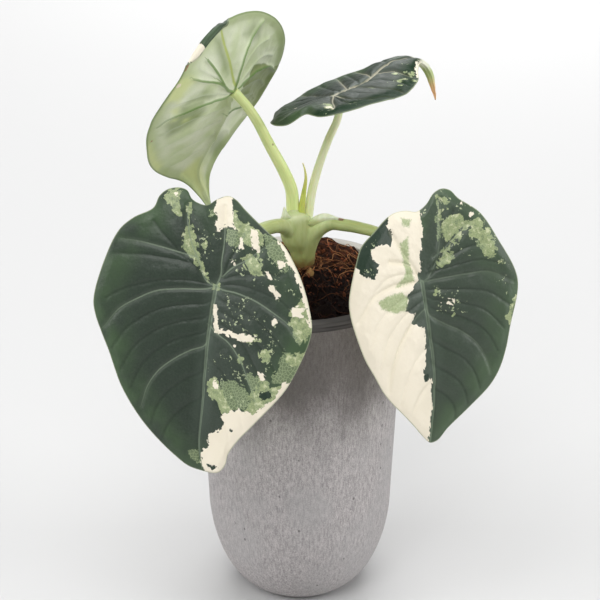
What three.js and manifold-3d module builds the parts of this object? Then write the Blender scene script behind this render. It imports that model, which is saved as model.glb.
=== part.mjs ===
// Potted variegated maharani alocasia: a young plant with four heart-shaped leaves in a tall
// concrete-grey pot. Millimetres, +Z up, the origin in the middle of the pot's flat foot,
// -Y towards the side that the two hanging leaves face.
//
// Pieces, from the ground up: the pot, the coir soil that fills it, the crown (the plant's short
// stem with the sheathing bases of its leaf stalks), four leaf stalks, four blades, the rolled
// new leaf between the upper stalks, and a small cormel on the soil beside the crown.

import * as THREE from 'three';
import { mergeVertices } from 'three/addons/utils/BufferGeometryUtils.js';
import Module from 'manifold-3d';

// Driving dimensions

const GAP = 0.3; // air between pieces that touch

const POT = {
  height: 198,
  rimRadius: 60,
  shoulderRadius: 54.4, // where the straight wall turns into the rounded foot
  shoulderHeight: 59,
  footRadius: 26.5, // flat base that the pot stands on
  wall: 7,
  floor: 9,
  rimRounding: 1.2,
  footSquareness: 1.86, // 2 would be an ellipse
  sides: 40,
};

const SOIL = {
  crownHeight: 202.5, // soil level at the crown
  edgeHeight: 192.8, // at the wall, halfway between front and back
  edgeSlope: 0.062, // the wall line rises towards the back
  lump: 1.1,
  seed: 5,
};

const CHIPS = { count: 42, nearest: 9, farthest: 50, length: [4, 10], width: [1.3, 2.8], slant: 0.25 };

const FIBRES = {
  count: 26,
  nearest: 12,
  farthest: 42,
  halfLength: [7, 13],
  rise: [1.2, 2.8],
  bow: 4,
  sunk: 2.2, // depth of the ends below the soil
  radius: 0.55,
};

const CROWN = {
  x: 3,
  y: 6,
  sides: 14,
  steps: [
    // height over the soil, centre x, centre y, half width, half depth
    [-17, 3, 6, 3.2, 3.2],
    [-6, 3, 6, 4.2, 4.2],
    [0, 3, 6, 4.4, 4.4],
    [6, 2.2, 5.6, 5.4, 5.2],
    [12, 0.6, 4.8, 7.6, 6.4],
    [18, -0.8, 3.8, 9.4, 7.4],
    [24, -1.6, 3.6, 9.6, 7.4],
    [29, -1.6, 4.4, 8, 6.2],
    [32.6, -1.2, 5.4, 4.6, 3.8],
  ],
};

const BLADE = { thickness: 0.8, spokes: 54, rings: 8, crease: 4 };

// A stalk's route is a smooth curve through its points, and its radius runs from base to tip.
// sheathEnd is the share of the route that belongs to the crown, where the stalk's base wraps it.
// A blade is drawn flat, in mm from the stalk's joint: x to the right of somebody who looks at its
// upper face with the tip down, y up towards the lobes. azimuth turns the upper face from -Y
// towards +X, elevation tilts it up, roll turns the tip to the left. ribTip and ribLobe lead the
// midrib sideways off x = 0: [a, b] mm at 100 mm for the square and the cube of the distance on
// the tip's side, and a slope for the valley between the lobes. The midrib bends away from the
// face by bendTip and bendLobe: thousandths of a radian per mm, and hundredths of that more per
// mm of distance. Past hookFrom it bends by hook too. Each half leaves it at its fold angle
// (degrees) and curves on by its arch (thousandths of a radian per mm), and the halves turn about
// the midrib by twist (degrees in 100 mm).
const LEAVES = [
  {
    name: 'lower_left',
    colour: 0x3a4a40,
    joint: [-43.5, -73.3, 227.6],
    azimuth: -18, elevation: 20, roll: 1.5, ribTip: [0, 0], ribLobe: -0.28,
    bendTip: [2, 0], bendLobe: [5, 0], hook: 0, hookFrom: 0, twist: 0,
    foldLeft: 20, foldRight: 20, archLeft: -6, archRight: -6,
    outline: [
      [-12.5, 41.2], [-6.6, 45], [-0.4, 47.3], [4.6, 46], [12, 41], [27, 31.6], [36, 26.8],
      [44, 18], [50, 9], [55, -2], [57.7, -11.4], [57, -20], [51, -38], [46.5, -47.3],
      [31.4, -67.5], [22.8, -78.4], [17.4, -87.6], [16.2, -93.6], [11.9, -99.3], [4, -101],
      [-4.9, -99.9], [-13.7, -94], [-32, -77], [-45, -59.3], [-53.2, -42.4], [-63, -24],
      [-65, -15.8], [-61, 6.5], [-55.6, 21.4], [-49, 28.5], [-39.6, 35], [-37.7, 41.5],
      [-34.2, 45.6], [-28.3, 47.7], [-24, 47], [-20.5, 43],
    ],
    route: [
      [1, 5, 204], [-0.5, 3.5, 214], [-3.5, 1, 224.5], [-9, -4, 231.5], [-16, -14, 235.5],
      [-26, -32, 239], [-36, -50, 238], [-42, -64, 232],
    ],
    radius: [4.6, 3.9, 2.6],
    sheathEnd: 0.42,
  },
  {
    name: 'lower_right',
    colour: 0xd8d6b8,
    joint: [65.1, -54.2, 221.1],
    azimuth: 22, elevation: 18, roll: 0, ribTip: [0, 0], ribLobe: 0.12,
    bendTip: [2, 0], bendLobe: [5, 0], hook: 0, hookFrom: 0, twist: 0,
    foldLeft: 20, foldRight: 20, archLeft: -6, archRight: -6,
    outline: [
      [3, 37.6], [9, 40.6], [14.3, 45.8], [19.2, 47.3], [23.4, 45.5], [26.5, 41], [37, 31.4],
      [45, 15.7], [52.5, -1], [53.3, -9], [47, -29.3], [43.5, -42], [39.7, -51.6],
      [34, -60.2], [17.6, -75], [9, -82.6], [2.7, -89.5], [-1.6, -90.2], [-6.3, -85.5],
      [-13.7, -76], [-30, -56], [-36, -44.4], [-41.7, -32.2], [-47, -9.6], [-46.7, -1],
      [-40, 16.8], [-36, 23.8], [-27.5, 30], [-14, 38], [-5, 38.9],
    ],
    route: [
      [3, 5, 204], [4.5, 2.5, 215.5], [9.5, -1, 227], [17, -5, 233.5], [25, -12, 235.8],
      [33, -22, 238.5], [43, -33, 240], [54, -42, 236], [61, -48, 228],
    ],
    radius: [4.6, 3.5, 2.5],
    sheathEnd: 0.4,
  },
  {
    name: 'upper_left',
    colour: 0x8fa283,
    joint: [-36, 1.1, 309.1],
    azimuth: 229.6, elevation: 32.3, roll: 11.7, ribTip: [0, 0], ribLobe: 0.26,
    bendTip: [-1.5, 0], bendLobe: [-9.3, 0], hook: 28, hookFrom: 59, twist: 10.1,
    foldLeft: 21.6, foldRight: -14.8, archLeft: -3.8, archRight: 13.7,
    outline: [
      [-0.6, -96.5], [-2.8, -88], [-6.7, -80.5], [-13.4, -74.1], [-24.2, -68.2], [-33, -60.6],
      [-39, -54], [-43.9, -47.7], [-49, -36.2], [-52.6, -26], [-54.8, -16], [-54, -5],
      [-50, 9], [-43.7, 21.3], [-35.9, 30.6], [-26.9, 38.4], [-16.2, 44.5], [-4.5, 49.2],
      [6.5, 51.8], [11, 51.2], [13.2, 49], [15.8, 51.4], [22.3, 50.3], [31, 47], [37.4, 41.4],
      [44.5, 33.7], [49.8, 22.9], [52.8, 9.4], [53, -6.5], [51.4, -19], [48.2, -30.7],
      [42, -47.6], [34.8, -59], [24.9, -67.8], [15.2, -74.9], [8.8, -81.3], [3.2, -88.2],
    ],
    route: [
      [1.3, 6, 204], [-1.5, 7, 221], [-3.7, 8, 234.6], [-4.6, 8, 248.5], [-9.2, 7, 261],
      [-16.3, 6, 275.5], [-23.2, 4.5, 290.4], [-29, 3, 300.3], [-33, 2, 305.5],
    ],
    radius: [4.4, 3.3, 2.5],
    sheathEnd: 0.3,
  },
  {
    name: 'upper_right',
    colour: 0x4a5650,
    joint: [19, 21.7, 297.9],
    azimuth: 221.9, elevation: 78, roll: 79, ribTip: [-4.7, -6.9], ribLobe: -0.18,
    bendTip: [-3.9, 0], bendLobe: [0.3, 8], hook: 60, hookFrom: 59.8, twist: 13,
    foldLeft: -8.3, foldRight: -15.8, archLeft: 7.3, archRight: 3.5,
    outline: [
      [-5, 33], [-1, 37], [6, 40], [14, 39.5], [22, 35], [30, 27], [35.4, 14.8], [42.5, 0],
      [45.3, -12], [42.8, -28], [36, -37], [28.5, -48], [19, -56], [10, -62], [2, -67],
      [-3.5, -73], [-7, -80], [-9.5, -88], [-11.5, -96], [-13.2, -104], [-14, -96],
      [-13, -88], [-12.8, -80], [-13.5, -70], [-18, -58], [-26, -45.5], [-34.4, -25],
      [-39, -12], [-42, 4], [-38.5, 18], [-34, 30], [-28, 36], [-20, 38], [-12, 36],
    ],
    route: [
      [2.5, 6, 204], [3.8, 8.5, 220], [5.2, 10.5, 233.7], [7.2, 11.5, 247.7], [11, 12.5, 262],
      [16, 13.5, 276.5], [21, 15.5, 288], [22, 18.5, 295],
    ],
    radius: [3.4, 2.6, 2.1],
    sheathEnd: 0.3,
  },
];

const NEW_LEAF = {
  route: [
    [0.8, 7, 224], [1, 7.5, 234.8], [2.2, 8, 246], [3.4, 8, 255.7], [2.8, 8, 261], [1.7, 8, 264.7],
  ],
  radii: [2.1, 2.1, 1.9, 1.25, 0.75, 0.35],
  steps: 12,
  sides: 8,
};

const CORMEL = { x: 6.6, y: -1.6, z: 201.6, radius: 2.6, height: 6.4, lean: 20 };

const COLOURS = {
  pot: 0x8d8e92,
  soil: 0x3d2318,
  crown: 0xbccb97,
  stalk: 0xafc47f,
  newLeaf: 0xbfd06a,
  cormel: 0xb79a6c,
};

// Solids

const wasm = await Module();
wasm.setup();

function solidOf(geometry) {
  const bare = geometry.clone();
  bare.deleteAttribute('normal');
  bare.deleteAttribute('uv');
  const merged = mergeVertices(bare, 1e-4);
  const index = merged.index.array;
  const triangles = [];
  for (let i = 0; i < index.length; i += 3) {
    const [a, b, c] = [index[i], index[i + 1], index[i + 2]];
    if (a !== b && b !== c && c !== a) triangles.push(a, b, c);
  }
  return new wasm.Manifold(new wasm.Mesh({
    numProp: 3,
    vertProperties: new Float32Array(merged.attributes.position.array),
    triVerts: new Uint32Array(triangles),
  }));
}

function geometryOf(solid) {
  const mesh = solid.getMesh();
  const geometry = new THREE.BufferGeometry();
  geometry.setAttribute('position', new THREE.BufferAttribute(new Float32Array(mesh.vertProperties), 3));
  geometry.setIndex(new THREE.BufferAttribute(new Uint32Array(mesh.triVerts), 1));
  return geometry;
}

// The main body of a cut or joined solid, without loose scraps.
function largest(solid) {
  return solid.decompose().reduce((most, body) => (body.volume() > most.volume() ? body : most));
}

// A closed skin over rings of points: every ring runs the same way round, and each end is closed
// by a fan about its own middle.
function skin(rings) {
  const sides = rings[0].length;
  const points = rings.flat();
  const middles = [rings[0], rings[rings.length - 1]].map((ring) =>
    ring.reduce((sum, p) => sum.add(p), new THREE.Vector3()).divideScalar(sides));
  const first = points.length;
  const last = first + 1;
  const index = [];
  for (let j = 0; j < sides; j += 1) {
    const next = (j + 1) % sides;
    index.push(first, next, j);
    for (let i = 0; i < rings.length - 1; i += 1) {
      const low = i * sides;
      const high = low + sides;
      index.push(low + j, low + next, high + next, low + j, high + next, high + j);
    }
    const top = (rings.length - 1) * sides;
    index.push(last, top + j, top + next);
  }
  const geometry = new THREE.BufferGeometry();
  geometry.setFromPoints([...points, ...middles]);
  geometry.setIndex(index);
  return geometry;
}

// Rings about a curve from share a to share b of its length, radius given at each share.
// A fixed sideways direction keeps the rings from turning about the curve.
function sweep(curve, a, b, steps, sides, radiusAt, flat = 1) {
  const rings = [];
  const across = new THREE.Vector3();
  const up = new THREE.Vector3();
  for (let i = 0; i <= steps; i += 1) {
    const share = a + ((b - a) * i) / steps;
    const centre = curve.getPointAt(share);
    const along = curve.getTangentAt(share);
    across.set(0, 1, 0).cross(along).normalize();
    up.copy(along).cross(across);
    const radius = radiusAt(share);
    const ring = [];
    for (let j = 0; j < sides; j += 1) {
      const turn = (2 * Math.PI * j) / sides;
      ring.push(centre.clone()
        .addScaledVector(across, radius * Math.cos(turn))
        .addScaledVector(up, radius * flat * Math.sin(turn)));
    }
    rings.push(ring);
  }
  return skin(rings);
}

function smoothCurve(points) {
  return new THREE.CatmullRomCurve3(points.map((p) => new THREE.Vector3(...p)));
}

// Pot

const POT_FOOT_STEPS = 7;

// A quarter of a squared-off ellipse, from the flat at the bottom up to the straight wall.
function footCurve(radius, height, flatRadius, base) {
  const points = [];
  for (let i = 0; i <= POT_FOOT_STEPS; i += 1) {
    const turn = (Math.PI / 2) * (1 - i / POT_FOOT_STEPS);
    const out = Math.max(0, Math.cos(turn)) ** (2 / POT.footSquareness);
    const down = Math.sin(turn) ** (2 / POT.footSquareness);
    points.push(new THREE.Vector2(
      flatRadius + (radius - flatRadius) * out,
      base + (height - base) * (1 - down),
    ));
  }
  return points;
}

// The inside of the rounded foot, or the soil's side of it, a clearance further in.
function innerLine(clearance) {
  const inset = POT.wall + clearance;
  return footCurve(
    POT.shoulderRadius - inset, POT.shoulderHeight, POT.footRadius - POT.wall / 2, POT.floor + clearance,
  );
}

function potGeometry() {
  const round = POT.rimRounding;
  const rimInside = POT.rimRadius - POT.wall;
  const outer = footCurve(POT.shoulderRadius, POT.shoulderHeight, POT.footRadius, 0);
  const profile = [
    new THREE.Vector2(0, 0),
    ...outer,
    new THREE.Vector2(POT.rimRadius, POT.height - round),
    new THREE.Vector2(POT.rimRadius - round * 0.3, POT.height - round * 0.3),
    new THREE.Vector2(POT.rimRadius - round, POT.height),
    new THREE.Vector2(rimInside + round, POT.height),
    new THREE.Vector2(rimInside + round * 0.3, POT.height - round * 0.3),
    new THREE.Vector2(rimInside, POT.height - round),
    ...innerLine(0).reverse(),
    new THREE.Vector2(0, POT.floor),
  ];
  return new THREE.LatheGeometry(profile, POT.sides);
}

// Soil

function random(seed) {
  let state = seed;
  return () => {
    state = (state + 0x6d2b79f5) | 0;
    let t = Math.imul(state ^ (state >>> 15), 1 | state);
    t = (t + Math.imul(t ^ (t >>> 7), 61 | t)) ^ t;
    return ((t ^ (t >>> 14)) >>> 0) / 4294967296;
  };
}

// The soil keeps clear of the wall at its lowest edge, in front.
const SOIL_LEVEL = SOIL.edgeHeight - SOIL.edgeSlope * POT.rimRadius - SOIL.lump * 2;
const WALL_TAPER = (POT.rimRadius - POT.shoulderRadius) / (POT.height - POT.shoulderHeight);
const SOIL_RADIUS = POT.rimRadius - WALL_TAPER * (POT.height - SOIL_LEVEL) - POT.wall - GAP;

// Height of the soil: a mound about the crown that falls to the wall, lowest in front, with lumps.
function soilHeight(x, y) {
  const edge = SOIL.edgeHeight + SOIL.edgeSlope * y;
  const away = Math.min(1, Math.hypot(x - CROWN.x, y - CROWN.y) / SOIL_RADIUS);
  const fall = away * away * (3 - 2 * away);
  const lumps = Math.sin(x * 0.31 + 1.3) * Math.cos(y * 0.27) + 0.6 * Math.sin(x * 0.71 - y * 0.53);
  return SOIL.crownHeight + (edge - SOIL.crownHeight) * fall + SOIL.lump * lumps * Math.min(1, away * 3);
}

const SOIL_RINGS = 7;

function soilBody() {
  const wallLine = innerLine(GAP).map((p) => [p.x, p.y]);
  const rings = [];
  const ringAt = (radius, heightAt) => {
    const ring = [];
    for (let j = 0; j < POT.sides; j += 1) {
      const turn = (2 * Math.PI * j) / POT.sides;
      const x = radius * Math.sin(turn);
      const y = radius * Math.cos(turn);
      ring.push(new THREE.Vector3(x, y, heightAt(x, y)));
    }
    return ring.reverse();
  };
  wallLine.forEach(([radius, height]) => rings.push(ringAt(radius, () => height)));
  for (let i = SOIL_RINGS; i > 0; i -= 1) {
    rings.push(ringAt((SOIL_RADIUS * i) / SOIL_RINGS, soilHeight));
  }
  return skin(rings);
}

// A value between two limits, for a draw of 0 to 1.
function between([low, high], share) {
  return low + (high - low) * share;
}

// A place on the soil at an even spread over the ring between two distances from its middle.
function spot({ nearest, farthest }, draw) {
  const angle = draw() * 2 * Math.PI;
  const radius = between([nearest, farthest], Math.sqrt(draw()));
  return [radius * Math.cos(angle), radius * Math.sin(angle)];
}

// A coir chip: a short five-sided bar, thinner at one end, lying at a slant in the soil.
function chip(draw) {
  const [x, y] = spot(CHIPS, draw);
  const length = between(CHIPS.length, draw());
  const width = between(CHIPS.width, draw());
  const slant = between([-CHIPS.slant, CHIPS.slant], draw());
  const geometry = new THREE.CylinderGeometry(width * 0.55, width * 0.8, length, 5, 1);
  geometry.rotateZ(Math.PI / 2 + slant);
  geometry.rotateX(Math.PI / 2);
  geometry.rotateZ(draw() * Math.PI);
  geometry.translate(x, y, soilHeight(x, y) + width * 0.15);
  return geometry;
}

// A coir fibre: a thin three-sided strand that arches over the soil with both ends sunk in it.
function fibre(draw) {
  const [x, y] = spot(FIBRES, draw);
  const turn = draw() * 2 * Math.PI;
  const reach = between(FIBRES.halfLength, draw());
  const rise = between(FIBRES.rise, draw());
  const bow = between([-FIBRES.bow, FIBRES.bow], draw());
  const points = [-1, -0.5, 0, 0.5, 1].map((s) => {
    const side = bow * (1 - s * s);
    const px = x + reach * s * Math.cos(turn) - side * Math.sin(turn);
    const py = y + reach * s * Math.sin(turn) + side * Math.cos(turn);
    const far = Math.abs(s) === 1;
    return [px, py, soilHeight(px, py) + (far ? -FIBRES.sunk : rise * (1 - s * s))];
  });
  return sweep(smoothCurve(points), 0, 1, 5, 3, () => FIBRES.radius);
}

// The soil body with its chips and fibres, kept inside the pot, with plain holes for the crown
// and the cormel.
function soilGeometry() {
  const draw = random(SOIL.seed);
  const pieces = [solidOf(soilBody())];
  for (let i = 0; i < CHIPS.count; i += 1) pieces.push(solidOf(chip(draw)));
  for (let i = 0; i < FIBRES.count; i += 1) pieces.push(solidOf(fibre(draw)));
  const well = new THREE.CylinderGeometry(SOIL_RADIUS, SOIL_RADIUS, POT.height * 2, POT.sides, 1);
  well.rotateX(Math.PI / 2);
  well.rotateZ(Math.PI / 2);
  return geometryOf(largest(wasm.Manifold.union(pieces)
    .intersect(solidOf(well))
    .subtract(crownSolid(GAP))
    .subtract(solidOf(cormelGeometry(GAP)))));
}

// Crown, stalks, blades

// A stalk's radius at a share of its route, even on each side of the shoulder.
function radiusAlong([base, middle, tip], shoulder) {
  return (share) => (share < shoulder
    ? between([base, middle], share / shoulder)
    : between([middle, tip], (share - shoulder) / (1 - shoulder)));
}

// Directions of a blade: its face, the way to its tip, and its right side.
function bladeAxes(leaf) {
  const azimuth = THREE.MathUtils.degToRad(leaf.azimuth);
  const elevation = THREE.MathUtils.degToRad(leaf.elevation);
  const roll = THREE.MathUtils.degToRad(leaf.roll);
  const face = new THREE.Vector3(
    Math.cos(elevation) * Math.sin(azimuth),
    -Math.cos(elevation) * Math.cos(azimuth),
    Math.sin(elevation),
  );
  const level = new THREE.Vector3(Math.cos(azimuth), Math.sin(azimuth), 0);
  const down = new THREE.Vector3().crossVectors(face, level);
  if (down.z > 0) down.negate();
  const right = level.clone().multiplyScalar(Math.cos(roll)).addScaledVector(down, Math.sin(roll));
  const tip = down.multiplyScalar(Math.cos(roll)).addScaledVector(level, -Math.sin(roll));
  return { face, tip, right };
}

// Sideways place of the midrib, or of the valley between the lobes, in the flat blade.
function ribPlace(leaf, y) {
  const share = -y / 100;
  return share > 0 ? leaf.ribTip[0] * share ** 2 + leaf.ribTip[1] * share ** 3 : leaf.ribLobe * y;
}

const SUM_STEPS = 20;

// Mean cosine and sine of an angle that grows along a length, by short steps.
function meanDirection(angleAt, length) {
  let cosine = 0;
  let sine = 0;
  for (let i = 0; i < SUM_STEPS; i += 1) {
    const angle = angleAt((length * (i + 0.5)) / SUM_STEPS);
    cosine += Math.cos(angle) / SUM_STEPS;
    sine += Math.sin(angle) / SUM_STEPS;
  }
  return [cosine, sine];
}

// A point of the blade's middle surface for a flat point (x, y): along the bent midrib first, and
// then out along the folded and arched half.
function bladePoint(leaf, axes, x, y) {
  const toTip = y < 0;
  const sign = toTip ? 1 : -1;
  const [bend, more] = toTip ? leaf.bendTip : leaf.bendLobe;
  const hook = toTip ? leaf.hook : 0;
  const ribAngle = (s) => (bend * s + (more / 100) * s * s + hook * Math.max(0, s - leaf.hookFrom)) / 1000;
  const along = Math.abs(y);
  const [ribCos, ribSin] = meanDirection(ribAngle, along);
  const turned = ribAngle(along);
  const { face, tip, right } = axes;
  const point = new THREE.Vector3(...leaf.joint)
    .addScaledVector(tip, sign * ribCos * along)
    .addScaledVector(face, -ribSin * along);
  const faceHere = face.clone().multiplyScalar(Math.cos(turned));
  faceHere.addScaledVector(tip, sign * Math.sin(turned));

  const rib = ribPlace(leaf, y);
  const onRight = x > rib;
  const fold = THREE.MathUtils.degToRad(onRight ? leaf.foldRight : leaf.foldLeft);
  const arch = (onRight ? leaf.archRight : leaf.archLeft) / 1000;
  const out = Math.abs(x - rib);
  const [sideCos, sideSin] = meanDirection((q) => fold * (1 - Math.exp(-q / BLADE.crease)) + arch * q, out);
  const twist = (THREE.MathUtils.degToRad(leaf.twist) * -y) / 100;
  const rightHere = right.clone().multiplyScalar(Math.cos(twist)).addScaledVector(faceHere, Math.sin(twist));
  const liftHere = faceHere.clone().multiplyScalar(Math.cos(twist)).addScaledVector(right, -Math.sin(twist));
  return point
    .addScaledVector(rightHere, rib + sideCos * (x - rib))
    .addScaledVector(liftHere, sideSin * out);
}

function bladeNormal(leaf, axes, x, y) {
  const step = 0.5;
  const across = bladePoint(leaf, axes, x + step, y).sub(bladePoint(leaf, axes, x - step, y));
  const along = bladePoint(leaf, axes, x, y + step).sub(bladePoint(leaf, axes, x, y - step));
  return across.cross(along).normalize();
}

// The outline as a closed smooth curve, sampled at equal lengths.
function outlinePoints(leaf) {
  const points = leaf.outline.map(([x, y]) => new THREE.Vector3(x, y, 0));
  const curve = new THREE.CatmullRomCurve3(points, true, 'centripetal');
  return curve.getSpacedPoints(BLADE.spokes).slice(0, BLADE.spokes);
}

// Both faces of the blade are the same web of spokes and rings about the stalk's joint, half the
// thickness above and below the middle surface, joined round the margin.
function bladeGeometry(leaf, thickness) {
  const axes = bladeAxes(leaf);
  const margin = outlinePoints(leaf);
  const { spokes, rings } = BLADE;
  const flat = [[0, 0]];
  for (let i = 1; i <= rings; i += 1) {
    const share = i / rings;
    margin.forEach((p) => flat.push([p.x * share, p.y * share]));
  }
  const middle = flat.map(([x, y]) => bladePoint(leaf, axes, x, y));
  const normals = flat.map(([x, y]) => bladeNormal(leaf, axes, x, y));
  const half = thickness / 2;
  const upper = middle.map((p, k) => p.clone().addScaledVector(normals[k], half));
  const under = middle.map((p, k) => p.clone().addScaledVector(normals[k], -half));
  const count = middle.length;
  const index = [];
  const triangle = (a, b, c) => index.push(c, b, a, a + count, b + count, c + count);
  for (let j = 0; j < spokes; j += 1) {
    const next = (j + 1) % spokes;
    triangle(0, 1 + j, 1 + next);
    for (let i = 0; i < rings - 1; i += 1) {
      const near = 1 + i * spokes;
      const far = near + spokes;
      triangle(near + j, far + j, far + next);
      triangle(near + j, far + next, near + next);
    }
    const edge = 1 + (rings - 1) * spokes;
    index.push(edge + j, edge + next, edge + count + next);
    index.push(edge + j, edge + count + next, edge + count + j);
  }
  const geometry = new THREE.BufferGeometry();
  geometry.setFromPoints([...upper, ...under]);
  geometry.setIndex(index);
  return geometry;
}

// The stalk's route, led through the joint to just in front of the blade.
const STALK_END = 2.5;

function stalkCurve(leaf) {
  const { face } = bladeAxes(leaf);
  const end = new THREE.Vector3(...leaf.joint).addScaledVector(face, STALK_END);
  return smoothCurve([...leaf.route, leaf.joint, end.toArray()]);
}

const STALK_SIDES = 10;
const STALK_STEPS = 15;
const SHEATH_STEPS = 9;

function stalkGeometry(leaf) {
  const curve = stalkCurve(leaf);
  const start = leaf.sheathEnd + GAP / curve.getLength();
  const stalk = sweep(curve, start, 1, STALK_STEPS, STALK_SIDES, radiusAlong(leaf.radius, leaf.sheathEnd));
  const seat = bladeGeometry(leaf, BLADE.thickness + 2 * GAP);
  return geometryOf(largest(solidOf(stalk).subtract(solidOf(seat))));
}

function newLeafGeometry(clearance) {
  const curve = smoothCurve(NEW_LEAF.route);
  const last = NEW_LEAF.radii.length - 1;
  const radiusAt = (share) => {
    const place = Math.min(share * last, last - 1e-6);
    const step = Math.floor(place);
    return between([NEW_LEAF.radii[step], NEW_LEAF.radii[step + 1]], place - step) + clearance;
  };
  return sweep(curve, 0, 1, NEW_LEAF.steps, NEW_LEAF.sides, radiusAt);
}

// The stem with the sheathing bases of the stalks, as one body. A clearance grows it, for the hole
// that it stands in.
function crownSolid(clearance) {
  const rings = CROWN.steps.map(([rise, x, y, wide, deep], step) => {
    const height = SOIL.crownHeight + rise - (step === 0 ? clearance : 0);
    const ring = [];
    for (let j = 0; j < CROWN.sides; j += 1) {
      const turn = (2 * Math.PI * j) / CROWN.sides;
      ring.push(new THREE.Vector3(
        x + (wide + clearance) * Math.cos(turn),
        y + (deep + clearance) * Math.sin(turn),
        height,
      ));
    }
    return ring;
  });
  const bases = LEAVES.map((leaf) => {
    const radiusAt = radiusAlong(leaf.radius, leaf.sheathEnd);
    const grown = (share) => radiusAt(share) + clearance;
    return solidOf(sweep(stalkCurve(leaf), 0, leaf.sheathEnd, SHEATH_STEPS, STALK_SIDES, grown));
  });
  return wasm.Manifold.union([solidOf(skin(rings)), ...bases]);
}

function crownGeometry() {
  return geometryOf(crownSolid(0).subtract(solidOf(newLeafGeometry(GAP))));
}

// A small pointed bulb.
function cormelGeometry(clearance) {
  const { radius, height } = CORMEL;
  const profile = [0, 0.2, 0.45, 0.7, 0.88, 1].map((share) => new THREE.Vector2(
    (radius + clearance) * Math.sin(Math.PI * share) ** 0.7 * (share < 1 ? 1 : 0),
    (share - 0.5) * (height + 2 * clearance),
  ));
  const geometry = new THREE.LatheGeometry(profile, 12);
  geometry.rotateX(Math.PI / 2 - THREE.MathUtils.degToRad(CORMEL.lean));
  geometry.translate(CORMEL.x, CORMEL.y, CORMEL.z);
  return geometry;
}

// The assembly

function piece(name, geometry, colour, roughness) {
  const material = new THREE.MeshStandardMaterial({ color: colour, roughness, metalness: 0 });
  const mesh = new THREE.Mesh(geometry, material);
  mesh.name = name;
  return mesh;
}

const pot = potGeometry();
pot.rotateX(Math.PI / 2);

const object = new THREE.Group();
object.add(piece('pot', pot, COLOURS.pot, 0.85));
object.add(piece('soil', soilGeometry(), COLOURS.soil, 0.95));

const plant = new THREE.Group();
plant.add(piece('crown', crownGeometry(), COLOURS.crown, 0.5));
LEAVES.forEach((leaf) => {
  plant.add(piece(`stalk_${leaf.name}`, stalkGeometry(leaf), COLOURS.stalk, 0.5));
  plant.add(piece(`blade_${leaf.name}`, bladeGeometry(leaf, BLADE.thickness), leaf.colour, 0.45));
});
plant.add(piece('new_leaf', newLeafGeometry(0), COLOURS.newLeaf, 0.5));
plant.add(piece('cormel', cormelGeometry(0), COLOURS.cormel, 0.7));
object.add(plant);

export default object;
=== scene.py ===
"""Potted variegated maharani alocasia: four stiff heart-shaped leaves in a tall grey pot.

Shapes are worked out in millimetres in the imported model's frame (+Z up, the origin in the middle
of the pot's foot) and written into the meshes in metres. The sections follow the plant as it
stands: pot, soil, crown, stalks, blades, the rolled new leaf and a cormel on the soil.
"""

import math

import bpy
import numpy as np
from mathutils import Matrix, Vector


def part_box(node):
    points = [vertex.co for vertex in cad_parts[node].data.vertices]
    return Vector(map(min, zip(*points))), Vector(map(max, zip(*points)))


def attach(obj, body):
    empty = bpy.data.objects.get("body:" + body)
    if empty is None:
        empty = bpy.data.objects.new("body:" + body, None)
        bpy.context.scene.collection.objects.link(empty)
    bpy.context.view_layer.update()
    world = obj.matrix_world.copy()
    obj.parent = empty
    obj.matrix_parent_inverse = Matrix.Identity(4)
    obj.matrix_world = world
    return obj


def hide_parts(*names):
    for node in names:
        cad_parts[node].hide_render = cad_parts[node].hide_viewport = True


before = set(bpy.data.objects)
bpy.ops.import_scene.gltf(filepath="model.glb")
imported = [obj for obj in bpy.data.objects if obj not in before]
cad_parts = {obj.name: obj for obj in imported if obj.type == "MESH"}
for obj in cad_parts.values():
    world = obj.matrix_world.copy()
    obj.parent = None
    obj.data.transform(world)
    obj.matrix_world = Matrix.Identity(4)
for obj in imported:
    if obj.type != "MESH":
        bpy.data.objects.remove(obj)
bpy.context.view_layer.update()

MM = 0.001


# Camera: in front of the plant and 26 degrees above it, with a long lens, as the plant was seen.
VIEW_RISE = math.radians(26)
VIEW_DISTANCE = 1.0
VIEW_TARGET = (0.0002, 0.0, 0.184)
LENS = 105.06

camera_data = bpy.data.cameras.new("view")
camera_data.lens = LENS
camera_data.sensor_width = 36
camera = bpy.data.objects.new("view", camera_data)
camera.location = (
    VIEW_TARGET[0],
    -VIEW_DISTANCE * math.cos(VIEW_RISE),
    VIEW_TARGET[2] + VIEW_DISTANCE * math.sin(VIEW_RISE),
)
camera.rotation_euler = (math.pi / 2 - VIEW_RISE, 0, 0)
bpy.context.scene.collection.objects.link(camera)
bpy.context.scene.camera = camera
bpy.context.scene.view_settings.view_transform = "Standard"


# Floor and light: a plain pale floor, a weak white surround and soft boxes. The main one hangs
# behind and over the plant, a low one brightens the floor far behind it, one is high in front, and
# two weaker ones stand left and right.
FLOOR_SIZE = 12.0
FLOOR_COLOUR = (0.64, 0.64, 0.64, 1)
SURROUND = 0.2


def rgba(code):
    """A linear colour from a six-digit screen colour, by the standard screen curve."""
    parts = [int(code[i:i + 2], 16) / 255 for i in (0, 2, 4)]
    linear = [p / 12.92 if p <= 0.04045 else ((p + 0.055) / 1.055) ** 2.4 for p in parts]
    return (*linear, 1)


def new_material(name, roughness, specular=0.5, **constants):
    """A Principled material with its constant sockets set; returns it, its tree and its shader."""
    material = bpy.data.materials.new(name)
    material.use_nodes = True
    tree = material.node_tree
    shader = tree.nodes["Principled BSDF"]
    shader.inputs["Roughness"].default_value = roughness
    shader.inputs["Specular IOR Level"].default_value = specular
    for socket, value in constants.items():
        shader.inputs[socket.replace("_", " ")].default_value = value
    return material, tree, shader


def place_sockets(tree, node, inputs):
    """Links or sets a node's input sockets, named or numbered by the keys of inputs."""
    for key, value in inputs.items():
        if isinstance(value, bpy.types.NodeSocket):
            tree.links.new(value, node.inputs[key])
        else:
            node.inputs[key].default_value = value


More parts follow.
